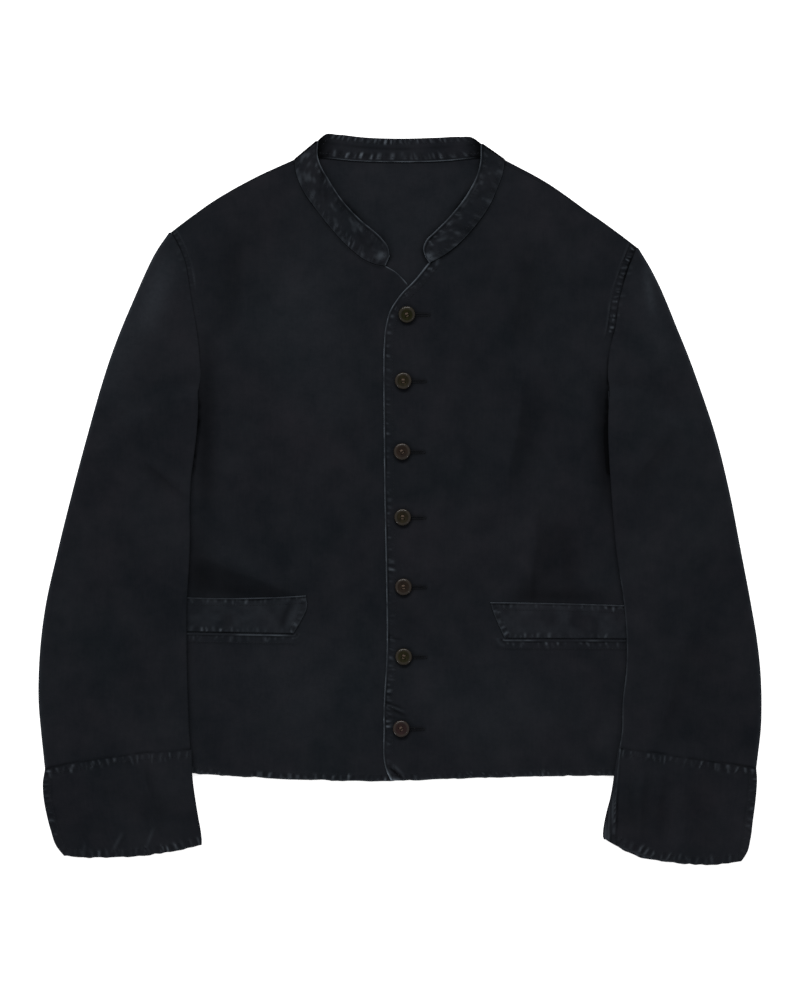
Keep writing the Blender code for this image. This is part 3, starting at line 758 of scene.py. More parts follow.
class JacketStage(bpy.types.PropertyGroup):
    """The floor, the lights and the camera."""

    camera_height: length_setting(
        "Camera height", "Height of the camera above the jacket", 4.0, min=1.0, max=10.0
    )
    view_height: length_setting("View", "Height of the picture on the floor", 1.0, min=0.5, max=3.0)
    floor: colour_setting("Floor", "Colour of the floor", (0.9, 0.9, 0.9))
    glow: number_setting("Floor glow", "How far the floor lights itself, as a light table does", 0.75, 5.0)
    sky: number_setting("Fill light", "Strength of the even light from all round", 0.45, 5.0)
    key: number_setting("Key light", "Power of the large soft light, in watts", 230.0, 900.0)


def soft(value, start, end):
    """A smooth step from 0 at start to 1 at end."""
    share = np.clip((value - start) / (end - start), 0.0, 1.0)
    return share * share * (3.0 - 2.0 * share)


def level(table, across, along, place):
    """The values of one column of a table, read straight between its rows at places along another."""
    rows = sorted((getattr(row, along), getattr(row, across)) for row in table)
    places, values = zip(*rows)
    return np.interp(place, places, values)


def row_distance(first, second):
    """The mean distance between the two ends of neighbouring rows."""
    one = math.hypot(second[0] - first[0], second[1] - first[1])
    two = math.hypot(second[2] - first[2], second[3] - first[3])
    return max(0.001, (one + two) / 2.0)


def dense_rows(table, step):
    """More rows, on a smooth curve through the rows of a table."""
    kind = type(table[0])
    spans = [row_distance(a, b) for a, b in zip(table, table[1:])]
    slopes = []
    for i, row in enumerate(table):
        before = spans[max(0, i - 1)]
        after = spans[min(len(spans) - 1, i)]
        last = table[max(0, i - 1)]
        following = table[min(len(table) - 1, i + 1)]
        slope = []
        for a, b, c in zip(last, row, following):
            if i == 0:
                slope.append((c - b) / after)
            elif i == len(table) - 1:
                slope.append((b - a) / before)
            else:
                slope.append(((b - a) / before * after + (c - b) / after * before) / (before + after))
        slopes.append(slope)
    rows = []
    for i, span in enumerate(spans):
        count = max(1, round(span / step))
        for k in range(count):
            t = k / count
            values = []
            for a, b, m, n in zip(table[i], table[i + 1], slopes[i], slopes[i + 1]):
                value = (2 * t**3 - 3 * t**2 + 1) * a + (t**3 - 2 * t**2 + t) * span * m
                value += (3 * t**2 - 2 * t**3) * b + (t**3 - t**2) * span * n
                values.append(value)
            rows.append(kind(*values))
    rows.append(table[-1])
    return rows


def edge_places(length, step):
    """Distances across a sheet: close together near its two edges and a step apart between them."""
    band = min(EDGE_BAND, length / 3.0)
    count = max(3, round(2.0 * band / (EDGE_STEP + step)))
    growth = np.linspace(EDGE_STEP, step, count)
    near = np.concatenate([[0.0], np.cumsum(growth)]) * band / growth.sum()
    middle = max(2, round((length - 2.0 * band) / step))
    between = np.linspace(band, length - band, middle + 1)
    return np.concatenate([near, between[1:-1], length - near[::-1]])


def plan_grid(table, row_step, column_step, fine=None, corner=0):
    """Places of a cut piece seen from above, with the share across and along of each.

    Rows between the two fine places along Y lie twice as close.  The outline may turn sharply at the
    corner row.
    """
    rows = dense_rows(table[corner:], CURVE_STEP)
    if corner:
        rows = dense_rows(table[: corner + 1], CURVE_STEP)[:-1] + rows
    spans = [row_distance(a, b) for a, b in zip(rows, rows[1:])]
    lengths = np.concatenate([[0.0], np.cumsum(spans)])
    rows = np.array(rows)
    places = edge_places(lengths[-1], row_step)
    if fine:
        between = (places[1:] + places[:-1]) / 2.0
        height = np.interp(between, lengths, rows[:, 1])
        extra = between[(height > fine[0]) & (height < fine[1])]
        places = np.sort(np.concatenate([places, extra]))
    picked_rows = [np.interp(places, lengths, column)[:, None] for column in rows.T]
    outer_x, outer_y, inner_x, inner_y, bow = picked_rows
    width = np.abs(inner_x - outer_x).max()
    shares = edge_places(width, column_step) / width
    share = np.broadcast_to(shares, (len(places), len(shares)))
    x = outer_x + (inner_x - outer_x) * share
    y = outer_y + (inner_y - outer_y) * share + bow * 4.0 * share * (1.0 - share)
    along = np.broadcast_to((places / places[-1])[:, None], x.shape)
    return x, y, share, along


def turned(fold, x, y):
    """How far points lie along a fold from its middle, and aside of it."""
    turn = math.radians(fold.turn)
    along = (x - fold.x) * math.cos(turn) + (y - fold.y) * math.sin(turn)
    aside = (y - fold.y) * math.cos(turn) - (x - fold.x) * math.sin(turn)
    return along, aside


def ridges(folds, x, y):
    """The rise of a group of folds."""
    total = np.zeros(np.shape(x))
    for fold in folds:
        along, aside = turned(fold, x, y)
        reach = np.maximum(0.0, 1.0 - (2.0 * along / fold.length) ** 2)
        total += fold.rise * reach * np.exp(-((aside / fold.width) ** 2))
    return total


def creases(folds, x, y):
    """The rise of listed creases, each on a line that wavers a little."""
    bend_x = x + CREASE_BEND * wander(x, y, CREASE_BEND_SIZE, 5)
    bend_y = y + CREASE_BEND * wander(x, y, CREASE_BEND_SIZE, 6)
    return ridges(folds, bend_x, bend_y)


def wander(x, y, size, seed):
    """Soft uneven hills from -1 to 1, about one size apart."""
    count = 97
    hills = np.random.default_rng(seed).uniform(-1.0, 1.0, (count, count))
    u = np.asarray(x) / size + 31.4
    v = np.asarray(y) / size + 47.7
    column = np.floor(u).astype(int)
    row = np.floor(v).astype(int)
    s = u - column
    t = v - row
    s = s * s * (3.0 - 2.0 * s)
    t = t * t * (3.0 - 2.0 * t)
    low = hills[column % count, row % count] * (1.0 - s) + hills[(column + 1) % count, row % count] * s
    high = hills[column % count, (row + 1) % count] * (1.0 - s)
    high = high + hills[(column + 1) % count, (row + 1) % count] * s
    return low * (1.0 - t) + high * t


def waver(along, size, seed):
    """Soft unevenness from -1 to 1 along a line."""
    return wander(along, np.zeros(along.shape), size, seed)


def ripple(x, y):
    """The unevenness of cloth that was washed and laid out, in millimetres."""
    return sum(height * wander(x, y, size, seed) for height, size, seed in RIPPLES)


def front_rise(x, y):
    """How far a front stands off the back, apart from the overlap."""
    side = soft(ARM_SIDE_X - np.abs(x), 0.0, ARM_SIDE_EASE)
    right_strip = soft(STRIP_RIGHT_X - x, 0.0, STRIP_EASE)
    left_strip = soft(x - STRIP_LEFT_X, 0.0, STRIP_EASE)
    strip = np.where(x < 0.0, right_strip, left_strip)
    low = HEM_SHARE + (1.0 - HEM_SHARE) * soft(y, *HEM_EASE_Y)
    high = 1.0 - soft(y, *CHEST_EASE_Y)
    folds = ridges(FRONT_FOLDS, x, y) * (1.0 - soft(y, *FOLD_EASE_Y))
    return side * strip * (FRONT_LOFT * low * high + folds)


def front_crease(x, y, right):
    """The creases and the unevenness of a front, kept off what lies under the other front."""
    rise = crease_share() * (creases(FRONT_CREASES, x, y) + ripple(x, y))
    if right:
        return rise * soft(CREASED_RIGHT_X - x, 0.0, CREASED_EASE)
    return rise * soft(x, *CREASED_STRIP_X) * 0.5 + rise * soft(x, *CREASED_CHEST_X) * 0.5


def crease_share():
    """The height of the creases that the user set."""
    return bpy.context.scene.jacket_cloth.crease


def wall_height():
    """The thickness of the cloth that the user set, in millimetres."""
    return bpy.context.scene.jacket_cloth.wall / MM


def fold_angles():
    """The angles of the steps round a fold of a band, from its upper layer to its lower one."""
    return [math.pi / 2.0 - math.pi * k / FOLD_STEPS for k in range(1, FOLD_STEPS)]


def front_under(x, y, right):
    """The underside of a front, the left one climbing over the right one where they overlap."""
    if right:
        return FRONT_LEVEL + front_rise(x, y)
    beyond = x - level(FRONT_RIGHT, "inner_x", "inner_y", y)
    lift = OVERLAP_LIFT * (1.0 - soft(beyond, OVERLAP_PLATEAU, OVERLAP_REACH))
    return FRONT_LEVEL + lift + front_rise(x, y)


def arm_lift(x, y):
    """How far a sleeve or cuff is lifted by the body that it lies on."""
    front = FRONT_RIGHT if np.mean(x) < 0.0 else FRONT_LEFT
    inside_y = np.minimum(np.maximum(y, front[0].outer_y), ARMHOLE_DEPTH_Y)
    outside = np.maximum(0.0, np.abs(x) - np.abs(level(front, "outer_x", "outer_y", inside_y)))
    beyond = np.hypot(outside, np.abs(y - inside_y))
    return SLEEVE_LIFT * (1.0 - soft(beyond, SLEEVE_PLATEAU, SLEEVE_REACH))


def sleeve_loft(x, y, share, along):
    """How far the top of a sleeve stands off its underside."""
    end = CUFF_SHARE + (1.0 - CUFF_SHARE) * soft(1.0 - along, 0.0, CUFF_EASE)
    billow = SLEEVE_LOFT * end + ridges(SLEEVE_FOLDS, x, y)
    return billow * np.sin(np.pi * share) ** ROUNDNESS * soft(along, 0.0, SHOULDER_EASE)


def edge_line(table, side, low=0, high=None, step=LINE_STEP):
    """One edge of a cut piece as a line seen from above, between two rows of its table."""
    rows = dense_rows(table[low:high], step)
    return np.array([(getattr(row, side + "_x"), getattr(row, side + "_y")) for row in rows])


def collar_line(run, side):
    """The seam or the free edge of one run of the collar as a line seen from above."""
    return edge_line(run, side, step=COLLAR_LINE_STEP)


def end_line(row):
    """The first or last section of a cut piece as a line seen from above."""
    share = np.linspace(0.0, 1.0, 300)
    x = row.outer_x + (row.inner_x - row.outer_x) * share
    y = row.outer_y + (row.inner_y - row.outer_y) * share + row.bow * 4.0 * share * (1.0 - share)
    return np.stack([x, y], axis=1)


def line_lengths(line):
    """The distance of each point of a line from its start."""
    steps = np.linalg.norm(np.diff(line, axis=0), axis=1)
    return np.concatenate([[0.0], np.cumsum(steps)])


def even_line(line, step):
    """A line with its points at even distances."""
    lengths = line_lengths(line)
    places = np.linspace(0.0, lengths[-1], max(2, round(lengths[-1] / step)))
    return np.stack([np.interp(places, lengths, line[:, k]) for k in range(line.shape[1])], axis=1)


def beside(x, y, line):
    """How far along a line each point lies, how far aside, and on which side."""
    line = even_line(line, LINE_STEP)
    lengths = line_lengths(line)
    tangent = np.gradient(line, axis=0)
    tangent /= np.linalg.norm(tangent, axis=1)[:, None]
    places = np.stack([x.ravel(), y.ravel()], axis=1)
    along = np.zeros(len(places))
    aside = np.full(len(places), FAR_ASIDE)
    side = np.ones(len(places))
    low = line.min(axis=0) - SEAM_SIGHT
    high = line.max(axis=0) + SEAM_SIGHT
    near = np.flatnonzero(np.all((places > low) & (places < high), axis=1))
    for part in np.array_split(near, max(1, len(near) // 4000)):
        apart = places[part][:, None, :] - line[None, :, :]
        nearest = np.argmin((apart**2).sum(axis=2), axis=1)
        offset = places[part] - line[nearest]
        ahead = (offset * tangent[nearest]).sum(axis=1)
        across = tangent[nearest][:, 0] * offset[:, 1] - tangent[nearest][:, 1] * offset[:, 0]
        ends = ((nearest == 0) & (ahead < 0.0)) | ((nearest == len(line) - 1) & (ahead > 0.0))
        along[part] = lengths[nearest] + np.where(ends, 0.0, ahead)
        aside[part] = np.where(ends, np.linalg.norm(offset, axis=1), np.abs(across))
        side[part] = np.where(across < 0.0, -1.0, 1.0)
    return along.reshape(x.shape), aside.reshape(x.shape), side.reshape(x.shape)


def pucker_set(along, aside, style, spacing, rng):
    """One set of uneven waves across a seam: ridges are positive and troughs negative."""
    count = int(max(2.0, along.max() / spacing * 1.8)) + 6
    places = np.cumsum(spacing * rng.uniform(0.5, 1.6, count)) - 3.0 * spacing
    strength = style.least + (1.0 - style.least) * rng.uniform(0.0, 1.0, count) ** 1.3
    reach = style.reach * rng.uniform(0.45 + 0.5 * style.least, 1.0, count)
    slant = rng.uniform(-0.45, 0.45, count)
    leaning = along + aside * np.interp(along, places, slant)
    phase = 2.0 * np.pi * np.interp(leaning, places, np.arange(count))
    limit = np.interp(leaning, places, reach)
    window = soft(aside, style.start - 1.2, style.start + 1.0) * (1.0 - soft(aside, limit * 0.55, limit))
    return np.cos(phase) * np.interp(leaning, places, strength) * window


def pucker_waves(along, aside, style, seed):
    """Uneven waves across a seam, of two lengths, strong in some places and faint in others."""
    rng = np.random.default_rng(seed)
    waves = pucker_set(along, aside, style, style.spacing, rng)
    waves = waves + 0.6 * pucker_set(along, aside, style, style.spacing * 0.62, rng)
    change = 0.95 + 0.6 * waver(along, 30.0, seed + 20)
    return waves * np.clip(change, max(0.3, style.least), 1.4)


class Relief:
    """What sewing and wear do to one cut piece: its rise, where it is paler from wear and from painted
    highlight, and where painted shade darkens it.
    """

    def __init__(self, x, y):
        self.x = x
        self.y = y
        self.rise = np.zeros(x.shape)
        # Paleness from wear, and painted highlight where ridges and raised parts catch the light
        self.worn = np.zeros(x.shape)
        # Painted shade: where the cloth is darkened to stand for shade
        self.deep = np.zeros(x.shape)
        self.rim = np.ones(x.shape)

    def seam(self, line, style, seed, roll=0.0, side=0.0, low=ANY_LOW, high=ANY_HIGH):
        """Adds one seam or edge; roll is how far from it the wall rounds off."""
        along, aside, hand = beside(self.x, self.y, line)
        self.sewn(along, aside, style, seed, roll, (hand == side) if side else None, low, high)

    def sewn(self, along, aside, style, seed, roll=0.0, only=None, low=ANY_LOW, high=ANY_HIGH):
        """Adds one seam or edge where the distances along it and aside of it are known."""
        here = soft(self.y, low, low + WINDOW_EASE) * (1.0 - soft(self.y, high - WINDOW_EASE, high))
        if only is not None:
            here = here * only
        waves = pucker_waves(along, aside, style, seed) * here
        uneven = 0.8 + 0.45 * waver(along, 5.0, seed + 50)
        uneven = np.maximum(0.1, uneven + 0.4 * waver(along, 17.0, seed + 60))
        broken = 0.7 + 0.5 * waver(along, 22.0, seed + 90)
        share = bpy.context.scene.jacket_cloth.pucker
        if style.band:
            self.rise += style.rise * here * (1.0 - soft(aside, style.band - 1.5, style.band + 1.2))
        self.rise += share * style.pucker * waves
        fading = 1.0 - style.gaps * soft(waver(along, 24.0, seed + 70), -0.1, 0.25)
        # The pale line along the edge, from wear and in places painted highlight
        line = style.worn * here * uneven * fading
        self.worn += line * np.exp(-(((aside - style.worn_at) / style.worn_width) ** 2))
        # Ridges of the puckers painted paler, partly bleached and partly painted highlight
        self.worn += style.pale * np.maximum(0.0, waves) ** 1.4 * broken * 1.3
        # A line of painted shade along the seam
        dark = style.dark * here * uneven * np.clip(1.3 * broken, 0.25, 1.15)
        self.deep += dark * np.exp(-(((aside - style.dark_at) / style.dark_width) ** 2))
        # Painted shade in the troughs of the puckers
        self.deep += 0.8 * style.pale * np.maximum(0.0, -waves) * broken
        if roll:
            short = 1.0 - np.clip(aside / roll, 0.0, 1.0)
            self.rim = np.minimum(self.rim, 0.25 + 0.75 * np.sqrt(np.maximum(0.0, 1.0 - short**2)))

    def drops(self, folds):
        """Adds folds that have one steep side, with painted shade where the cloth falls away."""
        share = crease_share()
        for drop in folds:
            along, aside = turned(drop, self.x, self.y)
            aside = aside + 2.0 * wander(self.x, self.y, 26.0, 7)
            window = np.maximum(0.0, 1.0 - (2.0 * along / drop.length) ** 2)
            profile = soft(aside, 0.0, drop.width) * (1.0 - soft(aside, drop.width, drop.reach)) * window
            lip = np.exp(-(((aside + drop.width) / drop.width) ** 2)) * window
            self.rise += share * drop.fall * (0.5 * lip - profile)
            self.deep += share * drop.shade * profile

    def patch(self, folds, amount):
        """Adds soft patches: paler where the amount is above 0, and painted shade where it is below 0."""
        field = np.abs(amount) * ridges(folds, self.x, self.y)
        if amount > 0.0:
            self.worn += field
        else:
            self.deep += field

    def patches(self, rows):
        """Adds each soft patch of a table."""
        for row in rows:
            self.patch([Fold(row.x, row.y, row.length, row.width, row.turn, 1.0)], row.amount)


class Value:
    """A number that changes over a surface, with the operators that add Math nodes."""

    def __init__(self, finish, socket):
        self.finish = finish
        self.socket = socket

    def math(self, operation, first, second):
        """One Math node on two values or numbers."""
        made = self.finish.node("ShaderNodeMath", {"operation": operation}, {0: first, 1: second})
        return Value(self.finish, made.outputs[0])

    def __add__(self, other):
        return self.math("ADD", self, other)

    def __radd__(self, other):
        return self.math("ADD", other, self)

    def __sub__(self, other):
        return self.math("SUBTRACT", self, other)

    def __mul__(self, other):
        return self.math("MULTIPLY", self, other)

    def __rmul__(self, other):
        return self.math("MULTIPLY", other, self)

    def at_least(self, other):
        """The larger of this value and another."""
        return self.math("MAXIMUM", self, other)

    def at_most(self, other):
        """The smaller of this value and another."""
        return self.math("MINIMUM", self, other)


class Finish:
    """A material whose nodes are added one by one."""

    def __init__(self, name):
        self.material = bpy.data.materials.new(name)
        self.material.use_nodes = True
        self.tree = self.material.node_tree
        self.surface = self.tree.nodes["Principled BSDF"]
        self.place = self.node("ShaderNodeTexCoord").outputs["Object"]

    def node(self, kind, settings=None, inputs=None):
        """A node with its settings, and with values or links on its sockets."""
        made = self.tree.nodes.new(kind)
        for name, setting in (settings or {}).items():
            setattr(made, name, setting)
        for name, given in (inputs or {}).items():
            self.feed(made.inputs[name], given)
        return made

    def feed(self, socket, given):
        """Links a value to a socket, or sets a number or colour on it."""
        if isinstance(given, Value):
            self.tree.links.new(given.socket, socket)
        elif isinstance(given, bpy.types.NodeSocket):
            self.tree.links.new(given, socket)
        else:
            socket.default_value = given

    def stretched(self, vector, scale):
        """A vector scaled along each axis."""
        return self.node("ShaderNodeMapping", {}, {"Vector": vector, "Scale": scale}).outputs[0]

    def noise(self, vector, scale, detail=2.0, roughness=0.5):
        """Smooth noise from about 0 to 1."""
        inputs = {"Vector": vector, "Scale": scale, "Detail": detail, "Roughness": roughness}
        made = self.node("ShaderNodeTexNoise", {"noise_dimensions": "3D"}, inputs)
        return Value(self, made.outputs["Fac"])

    def attribute(self, name):
        """A value that the mesh carries at each point."""
        made = self.node("ShaderNodeAttribute", {"attribute_name": name})
        return Value(self, made.outputs["Fac"])

    def mixed(self, share, first, second, blend="MIX"):
        """Two colours mixed by a share."""
        settings = {"data_type": "RGBA", "blend_type": blend, "clamp_factor": True}
        made = self.node("ShaderNodeMix", settings)
        self.feed(made.inputs[0], share)
        self.feed(made.inputs[6], first)
        self.feed(made.inputs[7], second)
        return made.outputs[2]

    def bump(self, height, distance, strength):
        """Feeds a height to the surface's normal."""
        inputs = {"Height": height, "Distance": distance, "Strength": strength}
        made = self.node("ShaderNodeBump", {}, inputs)
        self.tree.links.new(made.outputs[0], self.surface.inputs["Normal"])

    def done(self, colour, roughness, shine):
        """Sets the colour, the roughness and the shine of the surface and gives the material."""
        self.feed(self.surface.inputs["Base Color"], colour)
        self.feed(self.surface.inputs["Roughness"], roughness)
        self.surface.inputs["Specular IOR Level"].default_value = shine
        return self.material


def rgba(colour, factor=1.0):
    """A colour with full cover, made lighter or darker by a factor."""
    return (colour[0] * factor, colour[1] * factor, colour[2] * factor, 1.0)


def linen_finish(name):
    """Washed navy linen: a slubby plain weave, mottled, paler along edges and on puckers from wear and from
    painted highlight, and darkened by painted shade.
    """
    cloth = bpy.context.scene.jacket_cloth
    finish = Finish("linen_" + name)
    place = finish.place
    weave = finish.node("ShaderNodeUVMap", {"uv_map": "weave"}).outputs[0]
    pitch = cloth.thread_pitch
    across = finish.noise(finish.stretched(weave, (1.0 / pitch, 0.09 / pitch, 1.0)), 1.0, 1.0)
    along = finish.noise(finish.stretched(weave, (0.09 / pitch, 1.0 / pitch, 1.0)), 1.0, 1.0)
    slub = finish.noise(finish.stretched(weave, (420.0, 36.0, 1.0)), 1.0, 1.0)
    broad = finish.noise(place, 11.0, 2.0)
    cloud = finish.noise(place, 40.0, 3.0, 0.6)
    speck = finish.noise(place, 260.0, 2.0, 0.6)
    threads = (across + along) * 0.5
    tone = 0.46 * broad + 0.44 * cloud + 0.11 * speck + 0.15 * threads + 0.08 * slub - 0.12
    spread = ((tone - 0.5) * 3.0 + 0.5).at_least(0.0).at_most(1.0)
    dark = (cloth.linen[0] * 0.68, cloth.linen[1] * 0.74, cloth.linen[2] * 0.76)
    light = (cloth.linen[0] * 1.36, cloth.linen[1] * 1.27, cloth.linen[2] * 1.24)
    ground = finish.mixed(spread, rgba(dark), rgba(light))
    hue = finish.noise(place, 8.0, 3.0, 0.65)
    tint = finish.mixed((hue - 0.5) * 3.0 + 0.5, (0.96, 1.015, 1.01, 1.0), (1.03, 0.985, 1.0, 1.0))
    ground = finish.mixed(1.0, ground, tint, "MULTIPLY")
    # Paler towards the pale colour where the mesh marks wear and painted highlight
    worn = finish.attribute("worn") * (0.43 + 0.47 * speck)
    faded_and_highlit = finish.mixed(worn.at_most(1.0), ground, rgba(cloth.faded_and_highlit))
    faded_and_highlit = finish.mixed((worn - 1.0).at_least(0.0).at_most(1.0), faded_and_highlit, rgba(cloth.faded_and_highlit, 3.0))
    # Painted shade: darker towards near-black linen where the mesh marks shade
    deep = (finish.attribute("deep") * 0.75).at_most(0.93)
    shaded = finish.mixed(deep, faded_and_highlit, rgba(cloth.linen, 0.12))
    finish.bump(threads + 0.5 * slub + 0.5 * speck, 0.00025, 0.5)
    return finish.done(shaded, 0.82 + 0.14 * threads, 0.02)


def thread_finish(name, factor=1.0, tint=None):
    """Twisted sewing thread in the colour of the settings or a tint of its own, darker by a factor."""
    base = tint or bpy.context.scene.jacket_sewing.colour
    finish = Finish("thread_" + name)
    place = finish.place
    strand = finish.noise(place, 1900.0, 1.0)
    fade = finish.noise(place, 45.0, 2.0)
    share = 0.55 * strand + 0.45 * fade
    colour = finish.mixed(share, rgba(base, 0.6 * factor), rgba(base, 1.5 * factor))
    finish.bump(strand, 0.00015, 0.6)
    return finish.done(colour, 0.6 + 0.25 * strand, 0.06)


def horn_finish(name, number, olive):
    """Polished dark horn with paler streaks; each button has its own, some with an olive cast; its rim is
    painted paler as a painted highlight.
    """
    buttons = bpy.context.scene.jacket_buttons
    red = max(0.0, -olive)
    olive = max(0.0, olive)
    cast = (1.0 - 0.15 * olive + 0.3 * red, 1.0 + 0.15 * olive, 1.0 - 0.45 * olive + 0.5 * red)
    horn = [value * share for value, share in zip(buttons.horn, cast)]
    streak = [value * share for value, share in zip(buttons.streak, cast)]
    finish = Finish("horn_" + name)
    place = finish.place
    turned = finish.node(
        "ShaderNodeMapping",
        {},
        {"Vector": place, "Rotation": (0.0, 0.0, 0.7 * number), "Scale": (420.0, 90.0, 200.0)},
    ).outputs[0]
    streaks = finish.noise(turned, 1.0, 3.0, 0.6)
    cloud = finish.noise(place, 260.0, 2.0)
    share = ((0.7 * streaks + 0.3 * cloud - 0.42) * 3.2).at_least(0.0).at_most(1.0)
    colour = finish.mixed(share, rgba(horn), rgba(streak))
    rim = finish.attribute("rim")
    # Painted highlight: the rim is painted paler, unevenly
    rim_highlight = rim * (0.3 + 0.7 * cloud)
    colour = finish.mixed(rim_highlight.at_most(1.0), colour, rgba(buttons.rim_highlight))
    finish.feed(finish.surface.inputs["Coat Weight"], 0.45 * rim)
    finish.surface.inputs["Coat Roughness"].default_value = 0.15
    finish.bump(streaks, 0.0001, 0.25)
    return finish.done(colour, 0.3 + 0.16 * cloud, 0.06)


def slit_shadow_finish(name):
    """Painted shade for the inside of a buttonhole: a darker linen for the strip laid along its slit."""
    finish = Finish("hole_" + name)
    place = finish.place
    fluff = finish.noise(place, 900.0, 2.0)
    linen = bpy.context.scene.jacket_cloth.linen
    colour = finish.mixed(fluff, rgba(linen, 0.6), rgba(linen, 0.95))
    return finish.done(colour, 0.85 + 0.1 * fluff, 0.02)


def floor_finish():
    """A plain pale floor, mottled so slightly that it reads as one colour."""
    finish = Finish("floor")
    colour = bpy.context.scene.jacket_stage.floor
    place = finish.place
    cloud = finish.noise(place, 3.0, 2.0)
    mottled = finish.mixed(cloud, rgba(colour, 0.99), rgba(colour))
    finish.surface.inputs["Emission Color"].default_value = rgba(colour)
    finish.surface.inputs["Emission Strength"].default_value = bpy.context.scene.jacket_stage.glow
    return finish.done(mottled, 0.8 + 0.1 * cloud, 0.1)


def rim_faces(count_rows, count_columns, picked_rows, picked_columns, first_low):
    """Faces that close a shell's edge, between its fine upper side and its coarser lower side."""
    high = np.arange(count_rows * count_columns).reshape(count_rows, count_columns)
    low = first_low + np.arange(len(picked_rows) * len(picked_columns))
    low = low.reshape(len(picked_rows), len(picked_columns))
    faces = []
    for column, low_column in ((0, 0), (count_columns - 1, -1)):
        for k in range(len(picked_rows) - 1):
            fine = high[picked_rows[k] : picked_rows[k + 1] + 1, column].tolist()
            coarse = [int(low[k, low_column]), int(low[k + 1, low_column])]
            faces.append(fine + coarse[::-1] if low_column == 0 else fine[::-1] + coarse)
    for row, low_row in ((0, 0), (count_rows - 1, -1)):
        for k in range(len(picked_columns) - 1):
            fine = high[row, picked_columns[k] : picked_columns[k + 1] + 1].tolist()
            coarse = [int(low[low_row, k]), int(low[low_row, k + 1])]
            faces.append(fine[::-1] + coarse if low_row == 0 else fine + coarse[::-1])
    return faces


def quads(count_rows, count_columns, first):
    """Faces between neighbouring points of a grid."""
    index = first + np.arange(count_rows * count_columns).reshape(count_rows, count_columns)
    corners = [index[:-1, :-1], index[:-1, 1:], index[1:, 1:], index[1:, :-1]]
    return np.stack([corner.ravel() for corner in corners], axis=1)


def picked(count, coarse):
    """Every so many numbers up to a count, with the last one."""
    chosen = list(range(0, count - 1, coarse))
    return chosen + [count - 1]


def shell(name, high, low, weave, relief, material, coarse=COARSE, under_marks=0.3):
    """A closed shell of cloth from grids of its upper and lower sides, in millimetres."""
    count_rows, count_columns = high.shape[:2]
    rows = picked(count_rows, coarse)
    columns = picked(count_columns, coarse)
    under = low[np.ix_(rows, columns)]
    first = count_rows * count_columns
    points = np.concatenate([high.reshape(-1, 3), under.reshape(-1, 3)]) * MM
    upper_faces = quads(count_rows, count_columns, 0)
    lower_faces = quads(len(rows), len(columns), first)[:, ::-1]
    faces = upper_faces.tolist() + lower_faces.tolist()
    faces += rim_faces(count_rows, count_columns, rows, columns, first)
    mesh = bpy.data.meshes.new(name)
    mesh.from_pydata(points.tolist(), [], faces)
    # Marks of wear, painted highlight and painted shade, weaker on the underside by a share
    for label, field in (("worn", relief.worn), ("deep", relief.deep)):
        values = np.concatenate([field.ravel(), field[np.ix_(rows, columns)].ravel() * under_marks])
        mesh.attributes.new(label, "FLOAT", "POINT").data.foreach_set("value", values.astype(np.float32))
    flat = np.concatenate([weave.reshape(-1, 2), weave[np.ix_(rows, columns)].reshape(-1, 2)]) * MM
    corners = np.zeros(len(mesh.loops), dtype=np.int32)
    mesh.loops.foreach_get("vertex_index", corners)
    layer = mesh.uv_layers.new(name="weave")
    layer.data.foreach_set("uv", flat[corners].astype(np.float32).ravel())
    mesh.polygons.foreach_set("use_smooth", np.ones(len(mesh.polygons), dtype=bool))
    mesh.materials.append(material)
    mesh.validate()
    piece = bpy.data.objects.new(name + "_cloth", mesh)
    bpy.context.scene.collection.objects.link(piece)
    turn_outwards(piece)
    return piece


def turn_outwards(piece):
    """Points the faces of a closed mesh outwards."""
    work = bmesh.new()
    work.from_mesh(piece.data)
    if work.calc_volume(signed=True) < 0.0:
        bmesh.ops.reverse_faces(work, faces=work.faces[:])
        work.to_mesh(piece.data)
    work.free()


def dress(piece, node):
    """Lets a piece stand for a solid and ride with the jacket."""
    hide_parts(node)
    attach(piece, "root")


def stacked(x, y, z):
    """Places from three grids."""
    return np.stack([x, y, np.broadcast_to(z, x.shape)], axis=2)


def meet_body(x, y, share):
    """Brings the head of a sleeve up to the armhole that it is sewn to."""
    front = FRONT_RIGHT if np.mean(x) < 0.0 else FRONT_LEFT
    edge = edge_line(front, "outer", 5)
    armhole = np.interp(y[:, -1:], edge[:, 1], edge[:, 0]) - np.sign(np.mean(x)) * ARMHOLE_OVERLAP
    return x + (armhole - x[:, -1:]) * soft(y[:, -1:], *ARMHOLE_MEET_Y) * share**3


def sewn_lift(x, y, share):
    """How far a sleeve is lifted by the body, and not at all where it is sewn to the body."""
    return arm_lift(x, y) * (1.0 - soft(y, *ARMHOLE_SEWN_Y) * soft(share, 0.55, 1.0))


def meet_cuff(y, along):
    """Brings the end of a sleeve down to the cuff that it is sewn to."""
    return y - CUFF_OVERLAP * soft(along, 0.97, 1.0)


def scallop(x, y, share, seed):
    """Draws a sewn lower edge in and out a little, where the share is 1."""
    return y + SCALLOP * share * waver(x, SCALLOP_SPACING, seed)


def panel_shell(name, x, y, under, relief, rests_on, material):
    """A cut panel: its underside at the given height, its wall rounded off at the edges."""
    wall = wall_height()
    deepest = DEEPEST_SHARE * wall
    rise = np.where(relief.rise < 0.0, deepest * np.tanh(relief.rise / deepest), relief.rise)
    top = under + np.maximum(wall * relief.rim + rise, THINNEST_SHARE * wall)
    weave = np.stack([x, y], axis=2)
    piece = shell(name, stacked(x, y, top), stacked(x, y, under), weave, relief, material)
    dress(piece, name)


